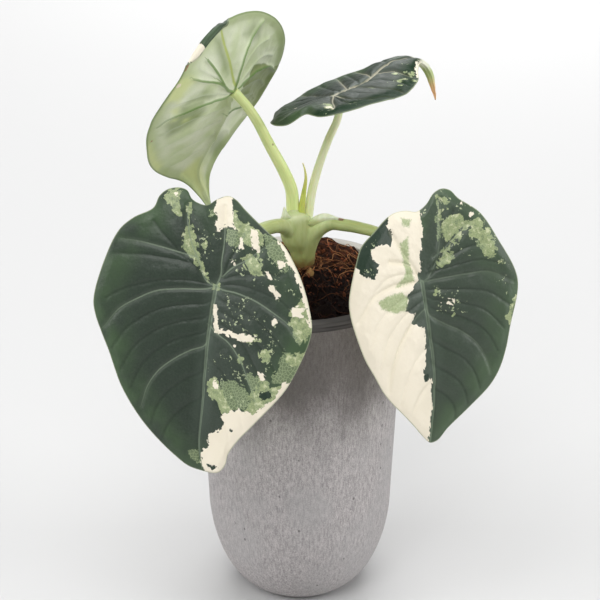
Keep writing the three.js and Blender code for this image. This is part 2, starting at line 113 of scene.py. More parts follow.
def add(tree, kind, inputs=None, **settings):
    """Adds a node of a kind, such as TexNoise, with its settings and its inputs."""
    node = tree.nodes.new("ShaderNode" + kind)
    for key, value in settings.items():
        setattr(node, key, value)
    place_sockets(tree, node, inputs or {})
    return node


def mixed(tree, share, first, second):
    """Colour that goes from first to second as share goes from 0 to 1. Each of the two is a socket
    or a six-digit screen colour."""
    first, second = (rgba(tone) if isinstance(tone, str) else tone for tone in (first, second))
    node = add(tree, "Mix", {0: share, 6: first, 7: second}, data_type="RGBA")
    return node.outputs[2]


def reckon(tree, operation, a, b=0.0, c=0.0):
    """A Math node's value for one, two or three inputs."""
    return add(tree, "Math", {0: a, 1: b, 2: c}, operation=operation).outputs[0]


def times(tree, a, b):
    """The product of two values."""
    return reckon(tree, "MULTIPLY", a, b)


def fade(tree, value, low, high):
    """0 below low, 1 above high and a smooth step between, or the reverse where low is larger."""
    inputs = {"Value": value, "From Min": low, "From Max": high}
    return add(tree, "MapRange", inputs, interpolation_type="SMOOTHSTEP").outputs[0]


def noise(tree, vector, scale, detail=2.0, roughness=0.5):
    """Fractal noise of 0 to 1 about its middle."""
    inputs = {"Vector": vector, "Scale": scale, "Detail": detail, "Roughness": roughness}
    return add(tree, "TexNoise", inputs).outputs[0]


def stretched(tree, vector, scale):
    """A vector multiplied axis by axis, so that a pattern on it is drawn out or packed."""
    return add(tree, "Mapping", {"Vector": vector, "Scale": scale}).outputs[0]


floor_data = bpy.data.meshes.new("floor")
half = FLOOR_SIZE / 2
floor_corners = [(-half, -half, 0), (half, -half, 0), (half, half, 0), (-half, half, 0)]
floor_data.from_pydata(floor_corners, [], [(0, 1, 2, 3)])
floor = bpy.data.objects.new("floor", floor_data)
bpy.context.scene.collection.objects.link(floor)
floor_material, _, floor_shader = new_material("floor_paper", 0.9, 0.2)
floor_shader.inputs["Base Color"].default_value = FLOOR_COLOUR
floor_data.materials.append(floor_material)

world = bpy.data.worlds.new("surround")
world.use_nodes = True
world.node_tree.nodes["Background"].inputs["Color"].default_value = (1, 1, 1, 1)
world.node_tree.nodes["Background"].inputs["Strength"].default_value = SURROUND
bpy.context.scene.world = world


def soft_box(name, place, aim, size, power):
    """A square area light at a place that looks at a point, in metres and watts."""
    light = bpy.data.lights.new(name, "AREA")
    light.shape = "SQUARE"
    light.size = size
    light.energy = power
    lamp = bpy.data.objects.new(name, light)
    away = np.subtract(place, aim)
    lamp.location = place
    lamp.rotation_euler = (
        math.atan2(math.hypot(away[0], away[1]), away[2]),
        0,
        math.atan2(away[0], -away[1]),
    )
    bpy.context.scene.collection.objects.link(lamp)


soft_box("top_box", (0.1, 1.7, 2.6), (0, 1.0, 0), 3.0, 72)
soft_box("far_box", (0.2, 1.7, 0.9), (0.2, 1.7, 0), 0.6, 6.8)
soft_box("front_box", (-0.2, -1.1, 1.9), (0, 0, 0.2), 1.3, 24)
soft_box("right_box", (1.7, -0.3, 0.8), (0, 0, 0.15), 1.0, 13.5)
soft_box("left_box", (-1.7, -0.3, 0.8), (0, 0, 0.15), 1.0, 12.5)


# Pot: one cast piece of grey concrete, 198 mm tall, straight walls that widen to a flat rim and
# a rounded foot. The skin keeps fine vertical drag marks, pits and a smoother lip under the rim.
POT_WALL = 7.0
POT_FLOOR = 9.0
POT_SHOULDER = (54.4, 59.0)  # radius and height where the wall turns into the foot
POT_FOOT = 26.5
FOOT_SQUARENESS = 1.86
FOOT_STEPS = 48
RIM_ROUNDING = 1.2
LIP_DEPTH = 4.6
POT_COLUMNS = 256


def skin(rings):
    """A closed surface over rings of points, with a pole in the middle of each end.

    rings is an array of rows, columns and places; every row runs anticlockwise about the way from
    the first row to the last. Returns the points, the four-sided faces and the poles' triangles.
    """
    rows, columns = rings.shape[:2]
    points = np.concatenate([rings.reshape(-1, 3), rings[0].mean(0)[None], rings[-1].mean(0)[None]])
    here = np.arange(columns)
    after = (here + 1) % columns
    low = (np.arange(rows - 1) * columns)[:, None]
    quads = np.stack([low + here, low + after, low + columns + after, low + columns + here], -1)
    top = (rows - 1) * columns
    first = np.full(columns, rows * columns)
    ends = [np.stack([first, after, here], -1), np.stack([first + 1, top + here, top + after], -1)]
    return points, quads.reshape(-1, 4), np.concatenate(ends)


def new_piece(name, points, quads, triangles, material):
    """A smooth object at the origin from points in millimetres."""
    mesh = bpy.data.meshes.new(name)
    mesh.from_pydata((points * MM).tolist(), [], quads.tolist() + triangles.tolist())
    mesh.polygons.foreach_set("use_smooth", np.ones(len(mesh.polygons), bool))
    mesh.materials.append(material)
    piece = bpy.data.objects.new(name, mesh)
    bpy.context.scene.collection.objects.link(piece)
    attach(piece, "root")
    return piece


def foot_line(radius, height, flat_radius, base, steps):
    """Quarter of a squared-off ellipse from the flat bottom up to the straight wall."""
    turn = np.linspace(np.pi / 2, 0, steps)
    out = np.cos(turn).clip(0) ** (2 / FOOT_SQUARENESS)
    down = np.sin(turn).clip(0) ** (2 / FOOT_SQUARENESS)
    return np.stack([flat_radius + (radius - flat_radius) * out, base + (height - base) * (1 - down)], -1)


def straight(a, b, steps):
    """Even steps from a to b, without b."""
    return np.asarray(a) + (np.asarray(b) - a) * np.linspace(0, 1, steps, endpoint=False)[:, None]


def pot_profile(rim, height):
    """Radius and height along the pot: up the outside, over the rounded rim, down the inside."""
    inner = rim - POT_WALL
    turn = np.linspace(0, np.pi / 2, 7)
    outer_edge = np.stack([np.cos(turn), np.sin(turn)], -1) * RIM_ROUNDING
    inner_edge = np.stack([-np.cos(turn), np.sin(turn)], -1)[::-1] * RIM_ROUNDING
    foot = foot_line(*POT_SHOULDER, POT_FOOT, 0, FOOT_STEPS)
    inside = foot_line(
        POT_SHOULDER[0] - POT_WALL, POT_SHOULDER[1], POT_FOOT - POT_WALL / 2, POT_FLOOR, FOOT_STEPS // 2)
    return np.concatenate([
        straight((2, 0), (POT_FOOT, 0), 6),
        foot[:-1],
        straight(foot[-1], (rim, height - RIM_ROUNDING), 90),
        outer_edge + (rim - RIM_ROUNDING, height - RIM_ROUNDING),
        straight((rim - RIM_ROUNDING, height), (inner + RIM_ROUNDING, height), 5)[1:],
        inner_edge + (inner + RIM_ROUNDING, height - RIM_ROUNDING),
        straight((inner, height - RIM_ROUNDING), inside[-1], 30)[1:],
        inside[::-1],
        [(2, POT_FLOOR)],
    ])


def turned(profile, columns):
    """Rings of a profile of radius and height, turned about the Z axis."""
    angle = 2 * np.pi * np.arange(columns) / columns
    radius, height = profile[:, 0, None], profile[:, 1, None]
    level = np.broadcast_to(height, (len(profile), columns))
    return np.stack([radius * np.cos(angle), radius * np.sin(angle), level], -1)


def object_place(tree):
    """The Object coordinate."""
    return add(tree, "TexCoord").outputs["Object"]


def part(tree, vector, axis):
    """One of a vector's three numbers."""
    return add(tree, "SeparateXYZ", {0: vector}).outputs[axis]


def spots(tree, place, scale, size, channel, chosen):
    """Mask of scattered round spots, one in the middle of each chosen cell: the distance to the
    middle fades over the size, and a random number of the cell's own fades over chosen."""
    cells = add(tree, "TexVoronoi", {"Vector": place, "Scale": scale})
    draw = add(tree, "SeparateColor", {0: cells.outputs["Color"]}).outputs[channel]
    return times(tree, fade(tree, cells.outputs["Distance"], *size), fade(tree, draw, *chosen))


def concrete():
    """Grey cast concrete: upright drag marks, cloudy tone, pits and a few rust specks. It is plain along its
    lip.
    Light and shade are painted in: painted shade darkens it higher up, with cloudy edges, and darker still
    along its faintly ringed lip and in its pits; inside at the back it is painted pale, a painted light on
    the lit rim."""
    material, tree, shader = new_material("cast_concrete", 0.82, 0.3)
    place = object_place(tree)
    height = part(tree, place, 2)
    lip_start = (POT_TOP - LIP_DEPTH) * MM
    lip = fade(tree, height, lip_start - 0.0004, lip_start)
    streaks = noise(tree, stretched(tree, place, (1, 1, 0.22)), 900, 4, 0.75)
    grains = noise(tree, place, 1500, 3, 0.8)
    cloud = noise(tree, stretched(tree, place, (1, 1, 0.6)), 34, 3)
    tone = reckon(tree, "MULTIPLY_ADD", streaks, 0.5, times(tree, grains, 0.5))
    grey = mixed(tree, fade(tree, tone, 0.34, 0.66), "8c8788", "d0cbca")
    grey = mixed(tree, times(tree, fade(tree, cloud, 0.4, 0.7), 0.5), grey, "b0aeae")
    pit = spots(tree, stretched(tree, place, (1, 1, 0.7)), 190, (0.17, 0.08), 0, (0.80, 0.84))
    # Painted shade: the pits, dents in the bump, are also painted dark.
    grey = mixed(tree, times(tree, pit, 0.6), grey, "4a4848")
    rust = spots(tree, place, 46, (0.075, 0.05), 1, (0.86, 0.88))
    grey = mixed(tree, times(tree, rust, 0.7), grey, "6a4a38")
    # Painted shade: the wall is painted darker higher up, with cloudy edges, where the leaves shade it.
    top_shade = fade(tree, reckon(tree, "MULTIPLY_ADD", cloud, 0.100, height), 0.155, 0.211)
    grey = mixed(tree, times(tree, top_shade, 0.76), grey, "544e4b")
    # The lip band is smooth with faint horizontal rings; its dark grey is painted shade.
    rings = noise(tree, stretched(tree, place, (0.05, 0.05, 1)), 900, 2)
    shaded_lip_grey = mixed(tree, fade(tree, rings, 0.3, 0.7), "3b3838", "595656")
    level = add(tree, "VectorMath", {0: place, 1: (1, 1, 0)}, operation="MULTIPLY").outputs[0]
    radius = add(tree, "VectorMath", {0: level}, operation="LENGTH").outputs["Value"]
    # Painted light: the inside of the wall just under the rim is painted pale at the back only, where the rim
    # is lit; the front stays in shade.
    inner = fade(tree, radius, (RIM_RADIUS - 0.6) * MM, (RIM_RADIUS - 1.4) * MM)
    inner = times(tree, inner, fade(tree, height, 0.187, 0.189))
    inner = times(tree, inner, fade(tree, part(tree, place, 1), -0.010, 0.015))
    colour = mixed(tree, inner, mixed(tree, lip, grey, shaded_lip_grey), "bfbbb6")
    place_sockets(tree, shader, {"Base Color": colour})
    rough = reckon(tree, "SUBTRACT", tone, times(tree, pit, 0.5))
    plain = times(tree, rough, fade(tree, lip, 1.6, 0.0))
    bump = add(tree, "Bump", {"Height": plain, "Distance": 0.0005, "Strength": 0.55})
    place_sockets(tree, shader, {"Normal": bump.outputs[0]})
    return material


pot_low, pot_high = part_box("pot")
POT_TOP = pot_high.z / MM
RIM_RADIUS = pot_high.x / MM
pot = new_piece("pot_shell", *skin(turned(pot_profile(RIM_RADIUS, POT_TOP), POT_COLUMNS)), concrete())
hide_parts("pot")


# Soil: damp coir with bark chips, filled to just under the rim and mounded up to the crown. Chips
# lie half sunk in it, and loose curly coir fibres cross its surface.
SOIL_CROWN = 202.5
SOIL_EDGE = 192.8
SOIL_EDGE_SLOPE = 0.062
SOIL_RADIUS = 52.1
HEAP = 5.4  # how much higher the loose soil lies behind the crown
HEAP_PLACE = 13.0
HEAP_SPREAD = 24.0
CROWN_PLACE = (3.0, 6.0)
SOIL_GAP = 0.3  # between the soil and the pot, below
SOIL_ROWS = 84
SOIL_COLUMNS = 220
CHIP_COUNT = 900
CHIP_RINGS = 6
CHIP_SIDES = 7
CHIP_SIZES = ((0.3, 0.3, 0.8), (1.0, 0.7, 2.9))  # least and greatest half sizes
CHIP_REACH = 48
FIBRE_COUNT = 170
CROWN_FIBRES = 50  # of these, how many ring the foot of the crown
FIBRE_STEPS = 14
FIBRE_SIDES = 5
FIBRE_REACH = 44


def smooth(share):
    """The step 3t² - 2t³."""
    return share * share * (3 - 2 * share)


def lumps(x, y, size, seed):
    """Smooth random height of -1 to 1: random values on a square grid, blended in each cell."""
    table = np.random.default_rng(seed).uniform(-1, 1, (64, 64))
    column, row = np.floor(x / size).astype(int), np.floor(y / size).astype(int)
    s, t = smooth(x / size - column), smooth(y / size - row)
    low = table[column % 64, row % 64] * (1 - s) + table[(column + 1) % 64, row % 64] * s
    high = table[column % 64, (row + 1) % 64] * (1 - s) + table[(column + 1) % 64, (row + 1) % 64] * s
    return low * (1 - t) + high * t


def soil_mound(x, y):
    """Height of the soil without its lumps: a mound about the crown that falls to the wall."""
    edge = SOIL_EDGE + SOIL_EDGE_SLOPE * y
    away = np.minimum(1, np.hypot(x - CROWN_PLACE[0], y - CROWN_PLACE[1]) / SOIL_RADIUS)
    return SOIL_CROWN + (edge - SOIL_CROWN) * smooth(away)


def heaped(x, y):
    """Height of the loose soil heaped up behind the crown: it swells from front to back and fades
    to both sides as a bell curve, and it eases off at the wall."""
    back = smooth(((y - 6) / 34).clip(0, 1)) * np.exp(-((x - HEAP_PLACE) / HEAP_SPREAD) ** 2)
    return HEAP * back * (0.5 + 0.5 * smooth(((SOIL_RADIUS - np.hypot(x, y)) / 3).clip(0, 1)))


def soil_level(x, y):
    """Height of the crumbly surface: mound and heap with three sizes of lumps, calm at the crown."""
    away = np.hypot(x - CROWN_PLACE[0], y - CROWN_PLACE[1])
    rough = 1.7 * lumps(x, y, 7.5, 1) + 1.2 * lumps(x, y, 3.2, 2) + 0.6 * lumps(x, y, 1.4, 3)
    return soil_mound(x, y) + heaped(x, y) + rough * np.clip((away - 3) / 8, 0.15, 1)


def soil_rings():
    """Rings up the inside of the wall and then inwards over the surface."""
    wall = POT_SHOULDER[0] - POT_WALL - SOIL_GAP
    inside = foot_line(wall, POT_SHOULDER[1], POT_FOOT - POT_WALL / 2, POT_FLOOR + SOIL_GAP, FOOT_STEPS // 4)
    side = turned(inside, SOIL_COLUMNS)
    share = np.linspace(1, 0.01, SOIL_ROWS)[:, None]
    angle = 2 * np.pi * np.arange(SOIL_COLUMNS) / SOIL_COLUMNS
    x, y = SOIL_RADIUS * share * np.cos(angle), SOIL_RADIUS * share * np.sin(angle)
    return np.concatenate([side, np.stack([x, y, soil_level(x, y)], -1)])


def turns(draw, count):
    """Random turning matrices, from random unit quaternions."""
    w, x, y, z = (q := draw.normal(size=(4, count))) / np.linalg.norm(q, axis=0)
    return np.stack([
        1 - 2 * (y * y + z * z), 2 * (x * y - z * w), 2 * (x * z + y * w),
        2 * (x * y + z * w), 1 - 2 * (x * x + z * z), 2 * (y * z - x * w),
        2 * (x * z - y * w), 2 * (y * z + x * w), 1 - 2 * (x * x + y * y),
    ], -1).reshape(count, 3, 3)


def many(rings):
    """Skins over many sets of rings at once: an array of bodies, rows, columns and places."""
    count = len(rings)
    points, quads, triangles = skin(rings[0])
    ends = np.stack([rings[:, 0].mean(1), rings[:, -1].mean(1)], 1)
    places = np.concatenate([rings.reshape(count, -1, 3), ends], 1)
    shift = (np.arange(count) * len(points))[:, None, None]
    return places.reshape(-1, 3), (quads + shift).reshape(-1, 4), (triangles + shift).reshape(-1, 3)


def chip_bodies(draw):
    """Bark crumbs: rounded blocks of a few rings, stretched, knocked about and turned at random."""
    lift = np.linspace(-0.96, 0.96, CHIP_RINGS)
    around = 2 * np.pi * np.arange(CHIP_SIDES) / CHIP_SIDES
    ball = np.stack(np.broadcast_arrays(
        np.sqrt(1 - lift**2)[:, None] * np.cos(around),
        np.sqrt(1 - lift**2)[:, None] * np.sin(around),
        lift[:, None],
    ), -1)
    size = draw.uniform(*CHIP_SIZES, (CHIP_COUNT, 3))
    knocked = ball * draw.uniform(0.62, 1.25, (CHIP_COUNT, *ball.shape[:2], 1)) * size[:, None, None]
    turned_over = np.einsum("nij,nrcj->nrci", turns(draw, CHIP_COUNT), knocked)
    angle = draw.uniform(0, 2 * np.pi, CHIP_COUNT)
    radius = CHIP_REACH * np.sqrt(draw.uniform(0.03, 1, CHIP_COUNT))
    x, y = radius * np.cos(angle), radius * np.sin(angle)
    place = np.stack([x, y, soil_level(x, y) - 0.1], -1)
    return many(turned_over + place[:, None, None])


def tube_rings(path, radius, sides):
    """Round rings about many paths at once; radius is given for each path and step."""
    along = np.gradient(path, axis=1)
    along /= np.linalg.norm(along, axis=-1, keepdims=True)
    across = np.cross(np.array([0.1, 0.2, 1.0]), along)
    across /= np.linalg.norm(across, axis=-1, keepdims=True)
    over = np.cross(along, across)
    turn = (2 * np.pi * np.arange(sides) / sides)[:, None]
    round_ = np.cos(turn) * across[:, :, None] + np.sin(turn) * over[:, :, None]
    return path[:, :, None] + radius[..., None, None] * round_


def fibre_bodies(draw):
    """Coir fibres: thin tapered strands that bow and curl over the soil, their ends sunk in it."""
    count = FIBRE_COUNT
    s = np.linspace(-1, 1, FIBRE_STEPS)
    angle, heading = draw.uniform(0, 2 * np.pi, (2, count, 1))
    radius = FIBRE_REACH * np.sqrt(draw.uniform(0.02, 1, (count, 1)))
    by_crown = np.arange(count)[:, None] < CROWN_FIBRES
    centre_x, centre_y = np.where(by_crown, CROWN_PLACE[0], 0), np.where(by_crown, CROWN_PLACE[1], 0)
    radius = np.where(by_crown, 4 + 0.12 * radius, radius)
    heading = np.where(by_crown, angle + np.pi / 2 + 0.2 * (heading - np.pi), heading)
    reach = draw.uniform(3.5, 12, (count, 1)) * np.where(by_crown, 0.4, 1)
    bow = draw.uniform(-6, 6, (count, 1)) * (1 - s * s) * np.where(by_crown, 0.3, 1)
    curl = draw.uniform(0.2, 1.6, (count, 1)) * np.sin(draw.uniform(2, 6, (count, 1)) * s + angle)
    x = centre_x + radius * np.cos(angle) + reach * s * np.cos(heading) - (bow + curl) * np.sin(heading)
    y = centre_y + radius * np.sin(angle) + reach * s * np.sin(heading) + (bow + curl) * np.cos(heading)
    inside = np.minimum(1, (SOIL_RADIUS - 1) / np.hypot(x, y))
    x, y = x * inside, y * inside
    rise = draw.uniform(0.8, 3.6, (count, 1)) * np.sqrt(1 - 0.96 * s * s)
    z = soil_mound(x, y) + heaped(x, y) + 0.7 + rise - 3.2 * np.abs(s) ** 6 + 0.5 * np.sin(5 * s + heading)
    thick = draw.uniform(0.09, 0.27, (count, 1)) * (1 - 0.6 * s * s)
    return many(tube_rings(np.stack([x, y, z], -1), thick, FIBRE_SIDES))


def coir(name, dark, light, scale):
    """Fibrous brown: two browns in fine mottling over the piece's own tone, with a rough surface."""
    material, tree, shader = new_material(name, 0.9, 0.12)
    place = object_place(tree)
    own = add(tree, "Attribute", attribute_name="tone").outputs["Fac"]
    mottle = reckon(tree, "MULTIPLY_ADD", own, 0.5, times(tree, noise(tree, place, scale, 3, 0.65), 0.5))
    place_sockets(tree, shader, {"Base Color": mixed(tree, fade(tree, mottle, 0.3, 0.8), dark, light)})
    rough = noise(tree, place, scale * 5, 3)
    bump = add(tree, "Bump", {"Height": rough, "Distance": 0.0006, "Strength": 0.7})
    place_sockets(tree, shader, {"Normal": bump.outputs[0]})
    return material


def give(mesh, name, values, kind="FLOAT"):
    """Puts one number or vector for each point into the mesh as an attribute."""
    field = {"FLOAT": "value", "FLOAT_VECTOR": "vector"}[kind]
    attribute = mesh.attributes.new(name, kind, "POINT")
    attribute.data.foreach_set(field, np.ascontiguousarray(values, np.float32).ravel())


def give_tone(piece, draw, count):
    """A random tone for each of the like bodies in a piece; painted shade makes them darker to the front and
    lighter to the back.
    """
    own = draw.uniform(0, 1, count) ** 1.6
    places = np.empty(len(piece.data.vertices) * 3, np.float32)
    piece.data.vertices.foreach_get("co", places)
    # Painted shade: the tone falls towards the front, where the rim and leaves shade the soil.
    lit_to_back = smooth(((places.reshape(-1, 3)[:, 1] + 0.045) / 0.075).clip(0, 1))
    own = np.repeat(own, len(places) // 3 // count)
    give(piece.data, "tone", own * (0.3 + 0.7 * lit_to_back) + 0.55 * lit_to_back - 0.22)


soil_draw = np.random.default_rng(11)
soil = new_piece("soil_bed", *skin(soil_rings()), coir("coir_soil", "0c0403", "85513a", 420))
give_tone(soil, soil_draw, 1)
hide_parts("soil")
chips = new_piece("bark_chips", *chip_bodies(soil_draw), coir("bark", "100605", "8c5239", 260))
give_tone(chips, soil_draw, CHIP_COUNT)
fibres = new_piece("coir_fibres", *fibre_bodies(soil_draw), coir("coir_fibre", "2a140a", "b67f57", 60))
give_tone(fibres, soil_draw, FIBRE_COUNT)


# Crown: the plant's short stem. The broad bases of the four leaf stalks wrap each other here, so
# it is one grown body; the outer two bend out left and right, the inner two stand up.
STALKS = {
    "lower_left": {
        "route": [
            (1, 5, 204), (-0.5, 3.5, 214), (-3.5, 1, 224.5), (-9, -4, 231.5), (-16, -14, 235.5),
            (-26, -32, 239), (-36, -50, 238), (-42, -64, 232), (-43.5, -73.3, 227.6),
        ],
        "radius": (4.6, 3.9, 2.6),
        "sheath": 0.42,
    },
    "lower_right": {
        "route": [
            (3, 5, 204), (4.5, 2.5, 215.5), (9.5, -1, 227), (17, -5, 233.5), (25, -12, 235.8),
            (33, -22, 238.5), (43, -33, 240), (54, -42, 236), (61, -48, 228), (65.1, -54.2, 221.1),
        ],
        "radius": (4.6, 3.5, 2.5),
        "sheath": 0.4,
    },
    "upper_left": {
        "route": [
            (1.3, 6, 204), (-1.5, 7, 221), (-3.7, 8, 234.6), (-4.6, 8, 248.5), (-9.2, 7, 261),
            (-16.3, 6, 275.5), (-23.2, 4.5, 290.4), (-29, 3, 300.3), (-33, 2, 305.5), (-36, 1.1, 309.1),
        ],
        "radius": (4.4, 3.7, 2.5),
        "sheath": 0.3,
    },
    "upper_right": {
        "route": [
            (2.5, 6, 204), (3.8, 8.5, 220), (5.2, 10.5, 233.7), (7.2, 11.5, 247.7), (11, 12.5, 262),
            (16, 13.5, 276.5), (21, 15.5, 288), (22, 18.5, 295), (19, 21.7, 297.9),
        ],
        "radius": (3.4, 2.6, 2.1),
        "sheath": 0.3,
    },
}
STEM = [
    # rise over the soil, centre x and y, half width, half depth
    (-17, 3, 6, 3.2, 3.2), (-6, 3, 6, 4.2, 4.2), (0, 3, 6, 4.4, 4.4), (6, 2.2, 5.6, 5.4, 5.2),
    (12, 0.6, 4.8, 7.6, 6.8), (18, -0.8, 3.8, 9.5, 8.1), (24, -1.6, 3.6, 9.6, 8.2),
    (29, -1.9, 3.2, 9, 6.7), (32.4, -1.9, 2.2, 7.4, 4.6), (34.4, -1.9, 1.6, 4.6, 2.6),
]
CROWN_GRAIN = 0.5  # size of the cells that join the crown's parts
# places on the sheaths where a painted whitish sheen lies, as painted highlights, and how far it reaches, in
# metres
SHEEN_SPOTS = [((0.012, -0.002, 0.242), 0.011), ((-0.002, -0.003, 0.243), 0.013)]
SHEATH_WALL = 0.9
STEM_STEPS = 70
STEM_SIDES = 48
SHEATH_STEPS = 200
SHEATH_SIDES = 32


def smooth_line(points, count, closed=False):
    """A curve through points, sampled at count equal lengths.

    Between two points it is a cubic. Its end slopes weigh the neighbouring chords by the square
    roots of their lengths, so it doesn't overshoot on short chords.
    """
    points = np.asarray(points, float)
    if closed:
        line = np.concatenate([points[-1:], points, points[:2]])
    else:
        line = np.concatenate([2 * points[:1] - points[1:2], points, 2 * points[-1:] - points[-2:-1]])
    a, b, c, d = line[:-3], line[1:-2], line[2:-1], line[3:]
    ab, bc, cd = (np.sqrt(np.linalg.norm(v, axis=1))[:, None] for v in (b - a, c - b, d - c))
    slope_b = ((b - a) / ab - (c - a) / (ab + bc) + (c - b) / bc) * bc
    slope_c = ((c - b) / bc - (d - b) / (bc + cd) + (d - c) / cd) * bc
    t = np.linspace(0, 1, 24, endpoint=False)[:, None, None]
    cubic = 2 * b - 2 * c + slope_b + slope_c
    square = 3 * c - 3 * b - 2 * slope_b - slope_c
    fine = (b + slope_b * t + square * t**2 + cubic * t**3).transpose(1, 0, 2).reshape(-1, points.shape[1])
    fine = np.concatenate([fine, points[:1] if closed else points[-1:]])
    length = np.concatenate([[0], np.cumsum(np.linalg.norm(np.diff(fine, axis=0), axis=1))])
    wanted = np.linspace(0, length[-1], count, endpoint=not closed)
    return np.stack([np.interp(wanted, length, fine[:, k]) for k in range(points.shape[1])], -1)


def carried_rings(path, radius, sides):
    """Round rings about one path. The sideways direction is carried from step to step, each time
    squared up to the path, so the rings don't turn about it."""
    along = np.gradient(path, axis=0)
    along /= np.linalg.norm(along, axis=1, keepdims=True)
    across = np.empty_like(path)
    side = np.array([1.0, 0.0, 0.0])
    for step, way in enumerate(along):
        side = side - way * (side @ way)
        side /= np.linalg.norm(side)
        across[step] = side
    over = np.cross(along, across)
    turn = (2 * np.pi * np.arange(sides) / sides)[:, None]
    round_ = np.cos(turn) * across[:, None] + np.sin(turn) * over[:, None]
    return path[:, None] + np.asarray(radius)[:, None, None] * round_


def stalk_radius(stalk, share):
    """Radius at a share of the route: even from the base to the sheath's end, and on to the joint."""
    return np.interp(share, [0, stalk["sheath"], 1], stalk["radius"])


def stem_rings():
    """Upright rings of the stem, ellipses whose centre and halves follow smooth lines."""
    rise, x, y, wide, deep_shade = smooth_line(STEM, STEM_STEPS).T[:, :, None]
    turn = 2 * np.pi * np.arange(STEM_SIDES) / STEM_SIDES
    level = np.broadcast_to(SOIL_CROWN + rise, (STEM_STEPS, STEM_SIDES))
    return np.stack([x + wide * np.cos(turn), y + deep_shade * np.sin(turn), level], -1)


def sheath_rings(stalk):
    """The stalk's base as far as its sheath reaches."""
    path = smooth_line(stalk["route"], SHEATH_STEPS)
    share = np.linspace(0, 1, SHEATH_STEPS)
    within = share <= stalk["sheath"] + 0.02
    wall = SHEATH_WALL * (1 - smooth((share[within] / stalk["sheath"]).clip(0, 1))) - 0.05
    return carried_rings(path[within], stalk_radius(stalk, share[within]) + wall, SHEATH_SIDES)


def joined(bodies):
    """One set of points and faces from several."""
    starts = np.cumsum([0] + [len(body[0]) for body in bodies])
    parts = [(body[0], body[1] + start, body[2] + start) for body, start in zip(bodies, starts)]
    return [np.concatenate([part[k] for part in parts]) for k in range(3)]


def stalk_skin(name, pale, green, coordinate, streak):
    """Waxy pale green with fine lengthwise streaks and a few brown flecks.

    coordinate gives the vector that the streaks follow, and streak how it is drawn out.
    """
    material, tree, shader = new_material(name, 0.42, 0.45, Subsurface_Weight=0.12, Subsurface_Scale=0.004)
    place = coordinate(tree)
    streaks = noise(tree, stretched(tree, place, streak), 1, 3, 0.6)
    broad = noise(tree, object_place(tree), 60, 2)
    tone = reckon(tree, "ADD", times(tree, streaks, 0.6), times(tree, broad, 0.4))
    colour = mixed(tree, fade(tree, tone, 0.3, 0.7), pale, green)
    fleck = spots(tree, object_place(tree), 210, (0.17, 0.10), 0, (0.93, 0.94))
    colour = mixed(tree, times(tree, fleck, 0.75), colour, "6d5a35")
    return material, tree, shader, colour


def crown_skin():
    """Pale sheath green, olive lower down, brown and dry where it meets the soil, with round spots of painted
    whitish sheen, painted highlights, high on the sheaths.
    """
    material, tree, shader, colour = stalk_skin(
        "sheath_skin", "c1ca94", "acb878", object_place, (420, 420, 60))
    height = part(tree, object_place(tree), 2)
    ragged = times(tree, noise(tree, object_place(tree), 300, 2), 0.006)
    dry = fade(tree, reckon(tree, "ADD", height, ragged), 0.2155, 0.2085)
    olive = fade(tree, height, 0.231, 0.210)
    colour = mixed(tree, times(tree, olive, 0.65), colour, "999d59")
    colour = mixed(tree, times(tree, dry, 0.8), colour, "6e4a2a")
    across = part(tree, object_place(tree), 0)
    colour = mixed(tree, times(tree, fade(tree, across, 0.011, 0.021), 0.9), colour, "a4ae72")
    # Painted highlights: a whitish sheen laid on round spots of the sheaths.
    for spot, reach in SHEEN_SPOTS:
        away = add(tree, "VectorMath", {0: object_place(tree), 1: spot}, operation="DISTANCE")
        sheen_spot = times(tree, fade(tree, away.outputs["Value"], reach, 0.1 * reach), 0.6)
        colour = mixed(tree, sheen_spot, colour, "e2e6d2")
    place_sockets(tree, shader, {"Base Color": colour})
    return material


def crown_body():
    """The stem and sheaths as overlapping closed bodies, joined by a fine cell mesh and eased."""
    bodies = [skin(stem_rings())] + [skin(sheath_rings(stalk)) for stalk in STALKS.values()]
    rough = new_piece("crown_parts", *joined(bodies), crown_material)
    remesh = rough.modifiers.new("join", "REMESH")
    remesh.mode = "VOXEL"
    remesh.voxel_size = CROWN_GRAIN * MM
    ease = rough.modifiers.new("ease", "SMOOTH")
    ease.iterations = 26
    mesh = bpy.data.meshes.new_from_object(rough.evaluated_get(bpy.context.evaluated_depsgraph_get()))
    bpy.data.objects.remove(rough)
    mesh.name = "crown_body"
    mesh.polygons.foreach_set("use_smooth", np.ones(len(mesh.polygons), bool))
    return mesh


crown_material = crown_skin()
crown = bpy.data.objects.new("crown_sheaths", crown_body())
bpy.context.scene.collection.objects.link(crown)
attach(crown, "root")
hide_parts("crown")


# Sheath edges: the free margins of the sheaths, thin as paper. The one of the right stalk arches
# over its bend and is dry and brown at its end; the one of the left stalk stands up as a point.
MEMBRANE_HALF = 0.22
MEMBRANE_BOW = 0.8
MEMBRANE_STEPS = 60
MEMBRANE_ROWS = 14
MEMBRANES = {
    "right": (
        [(4.8, -0.4, 230.6), (7.8, -2, 230.4), (11, -4.2, 232.9), (15.2, -6.4, 235.9), (19, -8.8, 237.6),
         (22, -11.4, 238.2), (24, -12.8, 238.6)],
        [(4.4, 0, 232.3), (6.9, -1, 235.4), (9.7, -2, 237.6), (12.4, -3, 238.9), (15.2, -4.5, 239.7),
         (17.9, -6.5, 239.6), (20.8, -8.8, 239.2), (24.6, -12, 239.4)],
    ),
    "left": (
        [(-10.8, -2.4, 234.4), (-8, -2.2, 234.8), (-5, -1, 234.8)],
        [(-10.6, -1.8, 235.6), (-9.7, -0.6, 238.4), (-8.7, 0.4, 241.6), (-7.2, 0.2, 239),
         (-5.2, -0.2, 236)],
    ),
}


